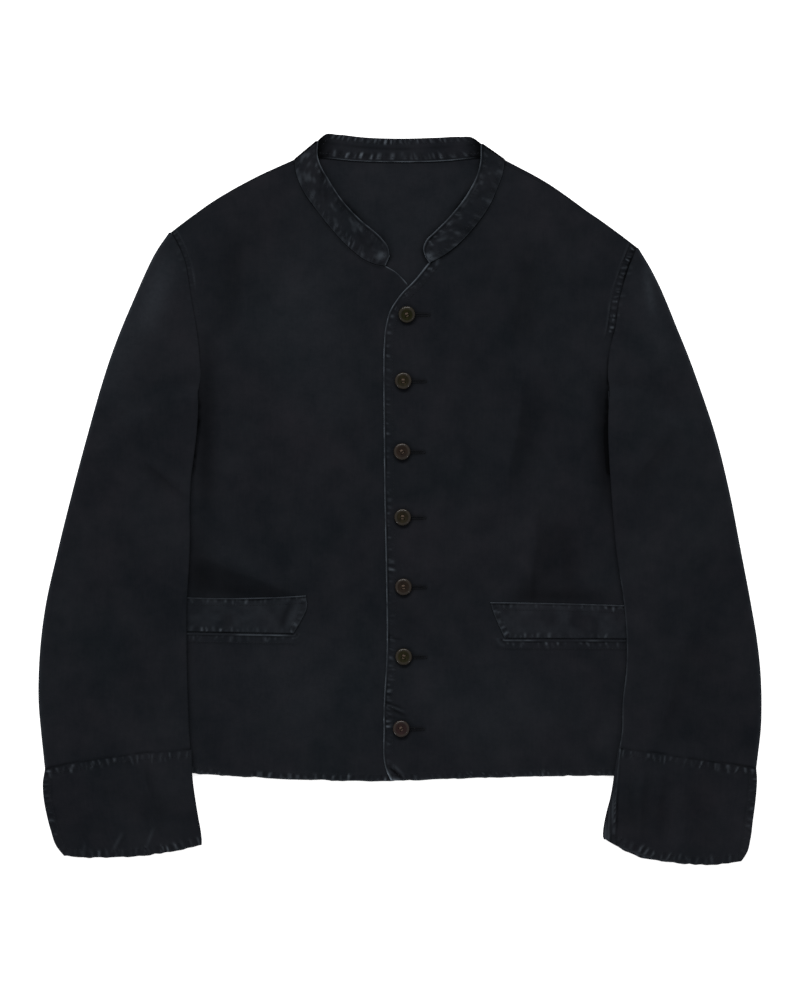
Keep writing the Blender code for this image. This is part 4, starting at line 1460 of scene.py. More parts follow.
class JACKET_OT_back(bpy.types.Operator):
    """Makes the back, which lies on the floor and shows inside the neck"""

    bl_idname = "jacket.back"
    bl_label = "Back"

    def execute(self, context):
        x, y = plan_grid(BACK, BACK_ROWS, BACK_COLUMNS, fine=NECK_FINE_Y, corner=BACK_SHOULDER_ROW)[:2]
        y = y + NECK_TUCK * soft(y, *NECK_TUCK_Y) * (1.0 - soft(np.abs(x), *NECK_TUCK_X))
        relief = Relief(x, y)
        shown = soft(y, *NECK_LOW_Y) * (1.0 - soft(y, *NECK_HIGH_Y))
        shown = shown * (1.0 - soft(np.abs(x), *NECK_SHOWN_X))
        crease = creases(BACK_CREASES, x, y) + 0.8 * ripple(x, y)
        relief.rise += crease_share() * shown * np.clip(crease, -0.4, 0.25)
        relief.worn += 0.03 * shown
        for run in (COLLAR_RIGHT, COLLAR_LEFT):
            relief.seam(collar_line(run, "edge"), COLLAR_SHADE, seed=26)
        panel_shell("back", x, y, np.zeros(x.shape), relief, [], linen_finish("back"))
        return {"FINISHED"}


class JACKET_OT_fronts(bpy.types.Operator):
    """Makes the two fronts, the left one over the right one"""

    bl_idname = "jacket.fronts"
    bl_label = "Fronts"

    def execute(self, context):
        make_front("front_right", FRONT_RIGHT, True, ["back"])
        make_front("front_left", FRONT_LEFT, False, ["back", "front_right"])
        return {"FINISHED"}


def make_front(name, table, right, rests_on):
    """One front with its hem, its armhole, its front edge and the seams of its collar and pocket."""
    x, y, _, along = plan_grid(table, FRONT_ROWS, FRONT_COLUMNS, fine=POCKET_FINE_Y)
    if right:
        y = y + HEM_TUCK * soft(x, *HEM_TUCK_X) * (1.0 - soft(y, *HEM_TUCK_Y))
    y = scallop(x, y, 1.0 - soft(along, *HEM_SCALLOP), 13 + right)
    relief = Relief(x, y)
    relief.seam(end_line(table[0]), HEM, seed=11 + right, roll=1.6)
    if right:
        relief.seam(edge_line(table, "outer", 7), ARMHOLE_RIGHT, seed=21, roll=1.2, low=ARMHOLE_RIGHT_LOW_Y)
        relief.seam(edge_line(SLEEVE_RIGHT, "inner", 0, 9), SHADE_RIGHT, seed=23, low=ARM_SHADE_LOW_Y)
        relief.seam(edge_line(table, "inner", 11, 15), NECK_EDGE, seed=31, roll=1.0)
        relief.seam(collar_line(COLLAR_RIGHT, "seam"), NECK_SEAM, seed=33, side=1.0)
        relief.seam(end_line(WELT_RIGHT[0]), WELT_LIP, seed=42, side=-1.0)
    else:
        relief.seam(edge_line(table, "outer", 9), ARMHOLE_LEFT, seed=22, roll=1.2, low=ARMHOLE_LEFT_LOW_Y)
        relief.seam(edge_line(SLEEVE_LEFT, "inner", 0, 9), SHADE_LEFT, seed=24, low=ARM_SHADE_LOW_Y)
        relief.seam(edge_line(table, "inner", 0, 16), FRONT_EDGE, seed=32, roll=1.2)
        relief.seam(collar_line(COLLAR_LEFT, "seam"), NECK_SEAM, seed=33, side=1.0)
        relief.seam(end_line(WELT_LEFT[0]), WELT_LIP, seed=41, side=1.0)
    shade_front(relief, right)
    relief.rise += front_crease(x, y, right)
    relief.drops(FRONT_DROPS)
    if right:
        corner = soft(y, *NECK_CORNER_Y) * soft(x, *NECK_CORNER_X)
        relief.rise *= soft(COVERED_X - x, 0.0, COVERED_EASE) + corner
    panel_shell(name, x, y, front_under(x, y, right), relief, rests_on, linen_finish(name))


def shade_front(relief, right):
    """Cloth that lies low beside the sleeves and above the pockets gets painted shade; the upper chest is a
    little darker and the middle a little paler.
    """
    if right:
        relief.patches(FRONT_RIGHT_PATCHES)
        return
    relief.patches(FRONT_LEFT_PATCHES)
    relief.patch(HEM_CORNER_PALE, 0.8)
    relief.patch(STRIP_STROKES, -0.9)
    # A ring of painted shadow round each button, and painted shade along each buttonhole
    for place in BUTTONS:
        away = np.hypot(relief.x - place.x - BUTTON_SHADE_X, relief.y - place.y - BUTTON_SHADE_Y)
        relief.deep += 0.4 * np.exp(-(((away - BUTTON_SHADE_RADIUS) / BUTTON_SHADE_WIDTH) ** 2))
        relief.patches([row._replace(x=place.x + row.x, y=place.y + row.y) for row in HOLE_PATCHES])


class JACKET_OT_sleeves(bpy.types.Operator):
    """Makes the upper and under halves of both sleeves"""

    bl_idname = "jacket.sleeves"
    bl_label = "Sleeves"

    def execute(self, context):
        for side, table in (("right", SLEEVE_RIGHT), ("left", SLEEVE_LEFT)):
            make_under_sleeve(side, table)
            make_top_sleeve(side, table)
        return {"FINISHED"}


def sleeve_grid(table, row_step, column_step):
    """Places of half a sleeve, sewn to the body and to its cuff, with the share across and along."""
    x, y, share, along = plan_grid(table, row_step, column_step)
    x = meet_body(x, y, share)
    return x, meet_cuff(y, along), share, along


def make_under_sleeve(side, table):
    """The hidden under half of a sleeve."""
    name = "sleeve_under_" + side
    x, y, share, _ = sleeve_grid(table, UNDER_ROWS, UNDER_COLUMNS)
    under = sewn_lift(x, y, share)
    panel_shell(name, x, y, under, Relief(x, y), ["back", "front_" + side], linen_finish(name))


def make_top_sleeve(side, table):
    """The upper half of a sleeve, gathered a little at its head and paled by wear along its folds, with
    painted highlight on its head and painted shade beside its creases.
    """
    name = "sleeve_top_" + side
    x, y, share, along = sleeve_grid(table, SLEEVE_ROWS, SLEEVE_COLUMNS)
    relief = Relief(x, y)
    head = np.stack([x[:, -1], y[:, -1]], axis=1)
    head = head[head[:, 1] > ARMHOLE_SEWN_Y[0]]
    relief.seam(head, SLEEVE_HEAD, seed=51, roll=1.4, low=SLEEVE_HEAD_LOW_Y)
    relief.seam(end_line(table[-1]), SLEEVE_END, seed=54)
    relief.seam(edge_line(table, "outer"), SLEEVE_OUTER, seed=52, roll=2.6)
    fold = Style() if side == "right" else SLEEVE_FOLD
    relief.seam(edge_line(table, "inner", 6), fold, seed=53, roll=2.6, high=SLEEVE_FOLD_HIGH_Y)
    inside = soft(share, 0.0, 0.12) * soft(1.0 - share, 0.0, 0.12)
    uneven = np.maximum(-0.3, creases(SLEEVE_CREASES, x, y) + ripple(x, y))
    relief.rise += crease_share() * inside * uneven * soft(along, 0.02, 0.12)
    relief.drops(SLEEVE_DROPS)
    relief.patches(SLEEVE_RIGHT_PATCHES if side == "right" else SLEEVE_LEFT_PATCHES)
    under = sewn_lift(x, y, share) + CLOTH + SEAM + sleeve_loft(x, y, share, along)
    panel_shell(name, x, y, under, relief, ["sleeve_under_" + side], linen_finish(name))


def surface_normals(points):
    """The directions square to a grid of points."""
    down = np.gradient(points, axis=0)
    over = np.gradient(points, axis=1)
    square = np.cross(over, down)
    return square / np.maximum(1e-9, np.linalg.norm(square, axis=2))[:, :, None]


class JACKET_OT_cuffs(bpy.types.Operator):
    """Makes the cuffs, each a band folded flat and open at its outer vent"""

    bl_idname = "jacket.cuffs"
    bl_label = "Cuffs"

    def execute(self, context):
        for side, table in (("right", CUFF_RIGHT), ("left", CUFF_LEFT)):
            make_cuff("cuff_" + side, table)
        return {"FINISHED"}


def side_strip(relief):
    """The strip beside the inner fold of the left cuff: a crease paled by wear with a line of painted shade
    beside it, and dark and pale streaks beyond it.
    """
    relief.seam(CUFF_CREASE_LINE, CUFF_FOLD, seed=64, side=1.0)
    crease = np.interp(-relief.y, -CUFF_CREASE_LINE[:, 1], CUFF_CREASE_LINE[:, 0])
    beyond = soft(crease - relief.x, 0.3, 1.6) * soft(-relief.y, *CUFF_STRIP_DOWN)
    streaks = wander((relief.x - crease) * 5.0, relief.y * 0.25, 8.0, 65)
    relief.deep += beyond * (0.2 + 0.5 * np.maximum(0.0, -streaks))
    relief.worn += beyond * (0.08 + 0.6 * np.maximum(0.0, streaks))


def make_cuff(name, table):
    """One cuff: its upper layer, a round fold at the inner edge and its lower layer."""
    x, y, share, along = plan_grid(table, CUFF_ROWS, CUFF_COLUMNS)
    if table is CUFF_LEFT:
        y = y - CUFF_BULGE * np.exp(-(((x - CUFF_BULGE_X) / CUFF_BULGE_WIDTH) ** 2)) * along**3
    y = scallop(x, y, soft(along, *CUFF_SCALLOP), 15)
    radius = (CLOTH + CUFF_SPACE) / 2.0
    across = np.stack([x[:, -1] - x[:, 0], y[:, -1] - y[:, 0]], axis=1)
    across /= np.linalg.norm(across, axis=1)[:, None]
    x = x - across[:, :1] * radius * share
    y = y - across[:, 1:] * radius * share
    base = arm_lift(x, y) + CLOTH / 2.0
    relief = Relief(x, y)
    relief.seam(end_line(table[0]), CUFF_SEAM, seed=61, roll=1.6)
    relief.seam(end_line(table[-1]), CUFF_EDGE, seed=62, roll=1.6)
    relief.seam(edge_line(table, "outer"), CUFF_VENT, seed=63, roll=1.6)
    relief.patch(CUFF_STROKES, 0.24)
    relief.patch(CUFF_SHADES, -0.25)
    if table is CUFF_LEFT:
        side_strip(relief)
    inside = soft(share, 0.0, 0.1) * soft(1.0 - share, 0.0, 0.06)
    uneven = creases(CUFF_CREASES, x, y) + 0.8 * ripple(x, y)
    relief.rise += crease_share() * inside * np.maximum(-0.35, uneven)
    relief.drops(CUFF_DROPS)
    billow = CUFF_LOFT * np.sin(np.pi * share)
    upper = stacked(x, y, base + 2.0 * radius + billow)
    lower = stacked(x, y, base)
    turns = []
    for angle in fold_angles():
        edge = lower[:, -1].copy()
        edge[:, :2] += across * radius * math.cos(angle)
        edge[:, 2] += radius + radius * math.sin(angle)
        turns.append(edge)
    points = np.concatenate([upper, np.stack(turns, axis=1), lower[:, ::-1]], axis=1)
    spare = points.shape[1] - x.shape[1]
    whole = Relief(points[:, :, 0], points[:, :, 1])
    for field in ("rise", "worn", "deep", "rim"):
        shown = getattr(relief, field)
        ends = np.full((len(points), spare), 1.0 if field == "rim" else 0.0)
        setattr(whole, field, np.concatenate([shown, ends], axis=1))
    normal = surface_normals(points)
    if normal[len(normal) // 2, 4, 2] < 0.0:
        normal = -normal
    wall = wall_height()
    outward = wall * (whole.rim - 0.5) + whole.rise
    high = points + normal * outward[:, :, None]
    low = points - normal * (wall / 2.0)
    steps = np.linalg.norm(np.diff(points, axis=1), axis=2)
    lengths = np.concatenate([np.zeros((len(points), 1)), np.cumsum(steps, axis=1)], axis=1)
    weave = np.stack([lengths, points[:, :, 1]], axis=2)
    piece = shell(name, high, low, weave, whole, linen_finish(name), coarse=3)
    dress(piece, name)


def half_turn(first, second, outward):
    """Rows that carry the collar band round a fold, from one run of it to the next."""
    rows = []
    seam_radius = (first.seam_z - second.seam_z) / 2.0
    edge_radius = (first.edge_z - second.edge_z) / 2.0
    for angle in fold_angles():
        out = math.cos(angle)
        up = math.sin(angle)
        seam = Vector((first.seam_x, first.seam_y)) + outward * abs(seam_radius) * out
        edge = Vector((first.edge_x, first.edge_y)) + outward * abs(edge_radius) * out
        seam_z = (first.seam_z + second.seam_z) / 2.0 + seam_radius * up
        edge_z = (first.edge_z + second.edge_z) / 2.0 + edge_radius * up
        rows.append(Band(seam.x, seam.y, edge.x, edge.y, seam_z, edge_z))
    return rows


def fold_outward(row):
    """The direction square to a fold line that leads away from the middle of the neck."""
    line = Vector((row.edge_x - row.seam_x, row.edge_y - row.seam_y)).normalized()
    square = Vector((-line.y, line.x))
    place = Vector((row.seam_x, row.seam_y))
    return square if (place - Vector((0.0, NECK_MIDDLE_Y))).dot(square) > 0.0 else -square


def collar_rows():
    """The rows of the whole collar band, and which of them lie in or beside a fold."""
    runs = [dense_rows(table, COLLAR_ROWS) for table in (COLLAR_RIGHT, COLLAR_BACK, COLLAR_LEFT)]
    turn_one = half_turn(COLLAR_RIGHT[-1], COLLAR_BACK[0], fold_outward(COLLAR_BACK[0]))
    turn_two = half_turn(COLLAR_BACK[-1], COLLAR_LEFT[0], fold_outward(COLLAR_LEFT[0]))
    rows = runs[0] + turn_one + runs[1] + turn_two + runs[2]
    folded = np.zeros(len(rows), dtype=bool)
    start = len(runs[0])
    folded[start - 1 : start + len(turn_one) + 1] = True
    start += len(turn_one) + len(runs[1])
    folded[start - 1 : start + len(turn_two) + 1] = True
    return rows, folded


class JACKET_OT_collar(bpy.types.Operator):
    """Makes the stand collar, one band folded flat round the neck"""

    bl_idname = "jacket.collar"
    bl_label = "Collar"

    def execute(self, context):
        rows, folded = collar_rows()
        seam = np.array([(row.seam_x, row.seam_y, row.seam_z) for row in rows])
        edge = np.array([(row.edge_x, row.edge_y, row.edge_z) for row in rows])
        wide = np.linalg.norm(edge - seam, axis=1)[:, None]
        width = wide.max()
        shares = np.linspace(0.0, 1.0, round(width / COLLAR_COLUMNS) + 1)
        points = seam[:, None, :] + (edge - seam)[:, None, :] * shares[None, :, None]
        lengths = line_lengths((seam + edge) / 2.0)[:, None]
        fold_places = lengths[folded, 0]
        clear = np.abs(lengths - fold_places[None, :]).min(axis=1)[:, None]
        along = np.broadcast_to(lengths, points.shape[:2])
        relief = Relief(points[:, :, 0], points[:, :, 1])
        behind = (along > fold_places.min()) & (along < fold_places.max())
        from_seam = shares[None, :] * wide
        from_top = wide - from_seam
        relief.sewn(along, from_seam, COLLAR_SEAM, seed=71, roll=0.6, only=~behind)
        relief.sewn(along, from_top, COLLAR_TOP, seed=72, roll=1.2, only=~behind)
        relief.sewn(along, from_seam, COLLAR_BACK_SEAM, seed=75, roll=1.0, only=behind)
        relief.sewn(along, from_top, COLLAR_BACK_TOP, seed=76, roll=1.2, only=behind)
        ends = np.minimum(along, along.max() - along)
        relief.sewn(from_seam, ends, NECK_EDGE, seed=73, roll=1.2)
        # Blots on the front runs of the collar: the pale ones are raised and painted paler as painted
        # highlight, the dark ones are painted shade
        blots = 0.7 * wander(along, from_seam, 7.0, 74) + 0.5 * wander(along, from_seam, 4.0, 77)
        pale = np.maximum(0.0, blots - 0.2) * ~behind
        relief.worn += 0.55 * pale
        relief.patches(COLLAR_PATCHES)
        relief.deep += 0.6 * np.maximum(0.0, -blots - 0.2) * ~behind
        relief.rise += 0.7 * pale + 0.4 * ripple(along, from_seam)
        # Painted shade in the inner corners where the collar turns behind the neck, with no paleness there
        corner = soft(np.abs(relief.x), *COLLAR_CORNER_X) * behind
        relief.deep += 1.3 * corner**1.5
        relief.worn *= 1.0 - corner
        relief.rise *= soft(clear, 0.5, 5.0)
        normal = surface_normals(points)
        wall = wall_height()
        shown_up = (normal[:, :, 2] > 0.0).astype(float)
        rounded = wall * (relief.rim - 0.5)
        grow = np.maximum(-0.25, relief.rise)
        high = points + normal * (rounded + grow * shown_up)[:, :, None]
        low = points - normal * (rounded + grow * (1.0 - shown_up))[:, :, None]
        weave = np.stack([along, from_seam], axis=2)
        material = linen_finish("collar")
        piece = shell("collar", high, low, weave, relief, material, coarse=1, under_marks=1.0)
        dress(piece, "collar")
        return {"FINISHED"}


class JACKET_OT_welts(bpy.types.Operator):
    """Makes the two pocket welts"""

    bl_idname = "jacket.welts"
    bl_label = "Pocket welts"

    def execute(self, context):
        make_welt("pocket_welt_right", WELT_RIGHT, True, ["front_right"])
        make_welt("pocket_welt_left", WELT_LEFT, False, ["front_left"])
        return {"FINISHED"}


def make_welt(name, table, right, rests_on):
    """One pocket welt, which lies on its front."""
    x, y = plan_grid(table, WELT_ROWS, WELT_COLUMNS)[:2]
    relief = Relief(x, y)
    relief.seam(end_line(table[-1]), WELT_TOP, seed=81 + right, roll=1.0)
    relief.seam(edge_line(table, "inner"), WELT_END, seed=83 + right, roll=1.0)
    relief.seam(end_line(table[0]), WELT_SEAM, seed=85 + right, roll=1.4)
    relief.rise += 0.5 * crease_share() * ripple(x + 400.0, y)
    relief.worn += 0.05 + 0.06 * wander(x, y, 14.0, 87) + 0.04 * wander(x, y, 6.0, 88)
    if right:
        relief.patches(WELT_PATCHES)
        relief.rise += ridges(WELT_CREASES, x, y)
    under = front_under(x, y, right) + front_crease(x, y, right) + CLOTH + SEAM
    panel_shell(name, x, y, under, relief, rests_on, linen_finish(name))


def deselect_all():
    """Leaves nothing selected."""
    if bpy.context.mode != "OBJECT":
        bpy.ops.object.mode_set(mode="OBJECT")
    bpy.ops.object.select_all(action="DESELECT")


def joined(pieces):
    """Several objects joined into one."""
    deselect_all()
    for piece in pieces:
        piece.select_set(True)
    bpy.context.view_layer.objects.active = pieces[0]
    bpy.ops.object.join()
    return bpy.context.object


def pick_faces(test):
    """Selects the faces of the mesh in edit mode whose normal and middle pass a test."""
    bpy.ops.mesh.select_all(action="DESELECT")
    bpy.ops.mesh.select_mode(type="FACE")
    work = bmesh.from_edit_mesh(bpy.context.object.data)
    for face in work.faces:
        face.select_set(bool(test(face.normal, face.calc_center_median())))
    bmesh.update_edit_mesh(bpy.context.object.data)


def pick_edges(test):
    """Selects the edges of the mesh in edit mode whose two ends pass a test."""
    bpy.ops.mesh.select_all(action="DESELECT")
    bpy.ops.mesh.select_mode(type="EDGE")
    work = bmesh.from_edit_mesh(bpy.context.object.data)
    for edge in work.edges:
        edge.select_set(all(test(point.co) for point in edge.verts))
    bmesh.update_edit_mesh(bpy.context.object.data)


def turned_button():
    """One horn button at the origin: a rounded rim, a dish and four thread holes."""
    sizes = bpy.context.scene.jacket_buttons
    radius = sizes.radius
    height = sizes.height
    deselect_all()
    bpy.ops.mesh.primitive_cylinder_add(
        vertices=sizes.sides, radius=radius, depth=height, location=(0.0, 0.0, height / 2.0)
    )
    button = bpy.context.object
    bpy.ops.object.transform_apply(location=True, rotation=True, scale=True)
    bpy.ops.object.mode_set(mode="EDIT")
    pick_faces(lambda normal, middle: normal.z < -0.9)
    bpy.ops.mesh.inset(thickness=radius * 0.24, depth=0.0)
    pick_faces(lambda normal, middle: normal.z > 0.9)
    bpy.ops.mesh.inset(thickness=sizes.rim * 1.15, depth=0.0)
    for share in DISH_FALLS:
        bpy.ops.mesh.inset(thickness=radius * DISH_RING, depth=-sizes.dish * share)
    pick_edges(lambda place: place.z > height * 0.99 and place.xy.length > radius * 0.98)
    bpy.ops.mesh.bevel(offset=sizes.rim, segments=6, profile=0.5)
    pick_edges(lambda place: place.z < height * 0.01 and place.xy.length > radius * 0.98)
    bpy.ops.mesh.bevel(offset=height * 0.4, segments=4, profile=0.5)
    bpy.ops.object.mode_set(mode="OBJECT")
    drill_button(button)
    mark_rim(button.data)
    return button


def mark_rim(mesh):
    """Marks the points of a button's rim, which gets a gloss coat and is painted paler as a painted
    highlight.
    """
    sizes = bpy.context.scene.jacket_buttons
    inner = sizes.radius - 1.4 * sizes.rim
    marks = [float(point.co.xy.length > inner) for point in mesh.vertices]
    mesh.attributes.new("rim", "FLOAT", "POINT").data.foreach_set("value", marks)


def drill_button(button):
    """Cuts four thread holes through a button."""
    sizes = bpy.context.scene.jacket_buttons
    half = sizes.spread / 2.0
    deselect_all()
    drills = []
    for x, y in ((-half, -half), (half, -half), (half, half), (-half, half)):
        bpy.ops.mesh.primitive_cylinder_add(
            vertices=14, radius=sizes.hole, depth=sizes.height * 3.0, location=(x, y, sizes.height / 2.0)
        )
        drills.append(bpy.context.object)
    drill = joined(drills)
    deselect_all()
    button.select_set(True)
    bpy.context.view_layer.objects.active = button
    holes = button.modifiers.new("holes", "BOOLEAN")
    holes.operation = "DIFFERENCE"
    holes.solver = "EXACT"
    holes.object = drill
    bpy.ops.object.modifier_apply(modifier=holes.name)
    bpy.data.objects.remove(drill, do_unlink=True)
    bpy.ops.object.shade_smooth_by_angle(angle=math.radians(35.0))


def button_threads():
    """The sewing of one button at the origin: three strands through its upper holes, one below."""
    sizes = bpy.context.scene.jacket_buttons
    half = sizes.spread / 2.0
    top = sizes.height - sizes.dish * 0.9
    bars = []
    deselect_all()
    for side, inset, lift in THREAD_BARS:
        bpy.ops.mesh.primitive_cylinder_add(
            vertices=10,
            radius=sizes.hole * 0.52,
            depth=sizes.spread * 1.05,
            location=(0.0, side * half - inset, top + lift),
            rotation=(0.0, math.pi / 2.0, 0.0),
        )
        bar = bpy.context.object
        bpy.ops.object.transform_apply(location=True, rotation=True, scale=True)
        bpy.ops.object.mode_set(mode="EDIT")
        for cut in (-half * 0.55, half * 0.55):
            bpy.ops.mesh.select_all(action="SELECT")
            bpy.ops.mesh.bisect(plane_co=(cut, 0.0, 0.0), plane_no=(1.0, 0.0, 0.0))
        pick_faces(lambda normal, middle: abs(normal.x) > 0.9)
        bpy.ops.transform.translate(value=(0.0, 0.0, -sizes.hole * 1.1))
        bpy.ops.object.mode_set(mode="OBJECT")
        bars.append(bar)
    threads = joined(bars)
    bpy.ops.object.shade_smooth()
    return threads


class JACKET_OT_buttons(bpy.types.Operator):
    """Makes the seven horn buttons and the thread that holds each one"""

    bl_idname = "jacket.buttons"
    bl_label = "Buttons"

    def execute(self, context):
        pattern = turned_button()
        threads = button_threads()
        for number, place in enumerate(BUTTONS, 1):
            name = f"button_{number}"
            lean = Matrix.Rotation(math.radians(place.tilt), 4, "X")
            turn = Matrix.Rotation(math.radians(place.turn), 4, "Z")
            seat = Matrix.Translation(Vector((place.x, place.y, button_seat(place))) * MM)
            for source, label, material in (
                (pattern, name + "_horn", horn_finish(name, number, place.olive)),
                (threads, f"button_thread_{number}", thread_finish(name, 1.0, BUTTON_THREAD)),
            ):
                mesh = source.data.copy()
                mesh.transform(seat @ lean @ turn)
                mesh.materials.clear()
                mesh.materials.append(material)
                piece = bpy.data.objects.new(label, mesh)
                context.scene.collection.objects.link(piece)
                if source is pattern:
                    dress(piece, name)
                else:
                    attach(piece, "root")
        for source in (pattern, threads):
            bpy.data.objects.remove(source, do_unlink=True)
        return {"FINISHED"}


def button_seat(place):
    """The height of the foot of a button above the floor, in millimetres."""
    under = front_under(np.array([place.x]), np.array([place.y]), False)[0]
    return under + CLOTH + SEAM + BUTTON_FOOT * math.sin(math.radians(place.tilt))


def surface_of(name):
    """A tree of a piece's faces that rays can be cast at."""
    return BVHTree.FromObject(bpy.data.objects[name + "_cloth"], bpy.context.evaluated_depsgraph_get())


def dropped(tree, x, y):
    """The place and normal where a line straight down meets a piece, in millimetres."""
    place, normal = tree.ray_cast(Vector((x * MM, y * MM, 0.1)), Vector((0.0, 0.0, -1.0)))[:2]
    if place is None:
        return None
    return np.array(place) / MM, np.array(normal)


def inset_line(line, distance, inside):
    """A line moved aside towards a point inside the piece."""
    line = even_line(line, LINE_STEP)
    tangent = np.gradient(line, axis=0)
    tangent /= np.linalg.norm(tangent, axis=1)[:, None]
    square = np.stack([-tangent[:, 1], tangent[:, 0]], axis=1)
    middle = len(line) // 2
    towards = np.array(inside) - line[middle]
    sign = 1.0 if float(square[middle] @ towards) > 0.0 else -1.0
    return line + square * distance * sign


class Threads:
    """Many small stitches, gathered as one mesh."""

    def __init__(self):
        self.points = []
        self.faces = []

    def stitch(self, start, end, normal, width):
        """One stitch: a short spindle that dips into the cloth at both ends."""
        start = np.asarray(start, dtype=float)
        end = np.asarray(end, dtype=float)
        normal = np.asarray(normal, dtype=float)
        run = end - start
        across = np.cross(normal, run)
        across = across / max(1e-9, np.linalg.norm(across)) * width / 2.0
        up = normal * width * 0.42
        first = len(self.points)
        self.points.append(start - up * 0.7)
        for share in (0.22, 0.78):
            middle = start + run * share + up * 0.6
            for side in (across, up, -across, -up):
                self.points.append(middle + side)
        self.points.append(end - up * 0.7)
        for k in range(4):
            a = first + 1 + k
            b = first + 1 + (k + 1) % 4
            self.faces.append((first, b, a))
            self.faces.append((a, b, b + 4, a + 4))
            self.faces.append((first + 9, a + 4, b + 4))

    def row(self, tree, line):
        """A row of stitches along a line, laid on a piece."""
        sewing = bpy.context.scene.jacket_sewing
        length = sewing.length / MM
        gap = sewing.gap / MM
        lengths = line_lengths(line)
        place = gap
        while place + length < lengths[-1]:
            ends = []
            for distance in (place, place + length):
                x = np.interp(distance, lengths, line[:, 0])
                y = np.interp(distance, lengths, line[:, 1])
                ends.append(dropped(tree, x, y))
            if ends[0] is not None and ends[1] is not None and abs(ends[0][0][2] - ends[1][0][2]) < 1.0:
                self.stitch(ends[0][0], ends[1][0], ends[0][1], sewing.width / MM)
            place += length + gap

    def piece(self, name, material):
        """The gathered stitches as a piece of the jacket."""
        mesh = bpy.data.meshes.new(name)
        mesh.from_pydata([tuple(point * MM) for point in self.points], [], self.faces)
        mesh.polygons.foreach_set("use_smooth", np.ones(len(mesh.polygons), dtype=bool))
        mesh.materials.append(material)
        made = bpy.data.objects.new(name, mesh)
        bpy.context.scene.collection.objects.link(made)
        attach(made, "root")


def mirrored(place):
    """The same place on the other side of the jacket."""
    return (-place[0], place[1])


class JACKET_OT_stitching(bpy.types.Operator):
    """Sews the rows of stitches along the edges and seams"""

    bl_idname = "jacket.stitching"
    bl_label = "Stitching"

    def execute(self, context):
        rows = [
            ("front_left", edge_line(FRONT_LEFT, "inner", 0, 16), FRONT_EDGE, FRONT_INSIDE),
            ("front_left", end_line(FRONT_LEFT[0]), HEM, FRONT_INSIDE),
            ("front_left", edge_line(FRONT_LEFT, "outer", 11), ARMHOLE_LEFT, FRONT_INSIDE),
            ("front_left", end_line(WELT_LEFT[0]), WELT_LIP, LIP_INSIDE),
            ("front_right", end_line(FRONT_RIGHT[0]), HEM, mirrored(FRONT_INSIDE)),
            ("front_right", edge_line(FRONT_RIGHT, "outer", 9), ARMHOLE_RIGHT, mirrored(FRONT_INSIDE)),
            ("front_right", end_line(WELT_RIGHT[0]), WELT_LIP, mirrored(LIP_INSIDE)),
        ]
        for name, table, inside in (
            ("pocket_welt_left", WELT_LEFT, WELT_LEFT_INSIDE),
            ("pocket_welt_right", WELT_RIGHT, mirrored(WELT_RIGHT_INSIDE)),
        ):
            rows.append((name, end_line(table[-1]), WELT_TOP, inside))
            rows.append((name, edge_line(table, "inner"), WELT_END, inside))
        for name, table, inside in (
            ("cuff_left", CUFF_LEFT, CUFF_INSIDE),
            ("cuff_right", CUFF_RIGHT, mirrored(CUFF_INSIDE)),
        ):
            rows.append((name, end_line(table[0]), CUFF_SEAM, inside))
            rows.append((name, end_line(table[-1]), CUFF_EDGE, inside))
            rows.append((name, edge_line(table, "outer"), CUFF_EDGE, inside))
        for run in (COLLAR_RIGHT, COLLAR_BACK, COLLAR_LEFT):
            top = collar_line(run, "edge")
            seam = collar_line(run, "seam")
            rows.append(("collar", top, COLLAR_TOP, np.median(seam, axis=0)))
            rows.append(("collar", seam, COLLAR_SEAM, np.median(top, axis=0)))
        for name in dict.fromkeys(row[0] for row in rows):
            tree = surface_of(name)
            threads = Threads()
            for owner, line, style, inside in rows:
                if owner == name:
                    for distance in style.stitches:
                        threads.row(tree, inset_line(line, distance, inside))
            threads.piece("stitches_" + name, thread_finish(name))
        return {"FINISHED"}


class JACKET_OT_buttonholes(bpy.types.Operator):
    """Works a buttonhole beside each button"""

    bl_idname = "jacket.buttonholes"
    bl_label = "Buttonholes"

    def execute(self, context):
        tree = surface_of("front_left")
        length = context.scene.jacket_sewing.hole_length / MM
        threads = Threads()
        slit_shadows = Threads()
        for place in BUTTONS:
            work_hole(tree, threads, slit_shadows, place.x + HOLE_START[0], place.y + HOLE_START[1], length)
        threads.piece("buttonhole_stitches", thread_finish("buttonholes", 0.5))
        # A strip of painted shade along each slit
        slit_shadows.piece("buttonhole_slits", slit_shadow_finish("buttonholes"))
        return {"FINISHED"}


def lay_stitch(tree, threads, near, far, width):
    """One stitch between two places, laid on a piece."""
    start = dropped(tree, *near)
    end = dropped(tree, *far)
    if start is not None and end is not None:
        threads.stitch(start[0], end[0], start[1], width)


def work_hole(tree, threads, slit_shadows, x, y, length):
    """One buttonhole: a slit with close stitches over both its lips and round its end."""
    reach = HOLE_HALF + HOLE_LIP
    for k in range(int(length / HOLE_PITCH)):
        here = x + k * HOLE_PITCH
        for side in (1.0, -1.0):
            near = (here, y + side * HOLE_HALF)
            lay_stitch(tree, threads, near, (here + HOLE_LEAN, y + side * reach), HOLE_THREAD)
    for degrees in HOLE_RAYS:
        angle = math.radians(degrees)
        near = (x + length + HOLE_HALF * math.cos(angle), y + HOLE_HALF * math.sin(angle))
        far = (x + length + reach * math.cos(angle), y + reach * math.sin(angle))
        lay_stitch(tree, threads, near, far, HOLE_THREAD)
    # A strip of painted shade laid along the slit
    lay_stitch(tree, slit_shadows, (x, y), (x + length + HOLE_HALF, y), HOLE_HALF * HOLE_SLIT_SHARE)


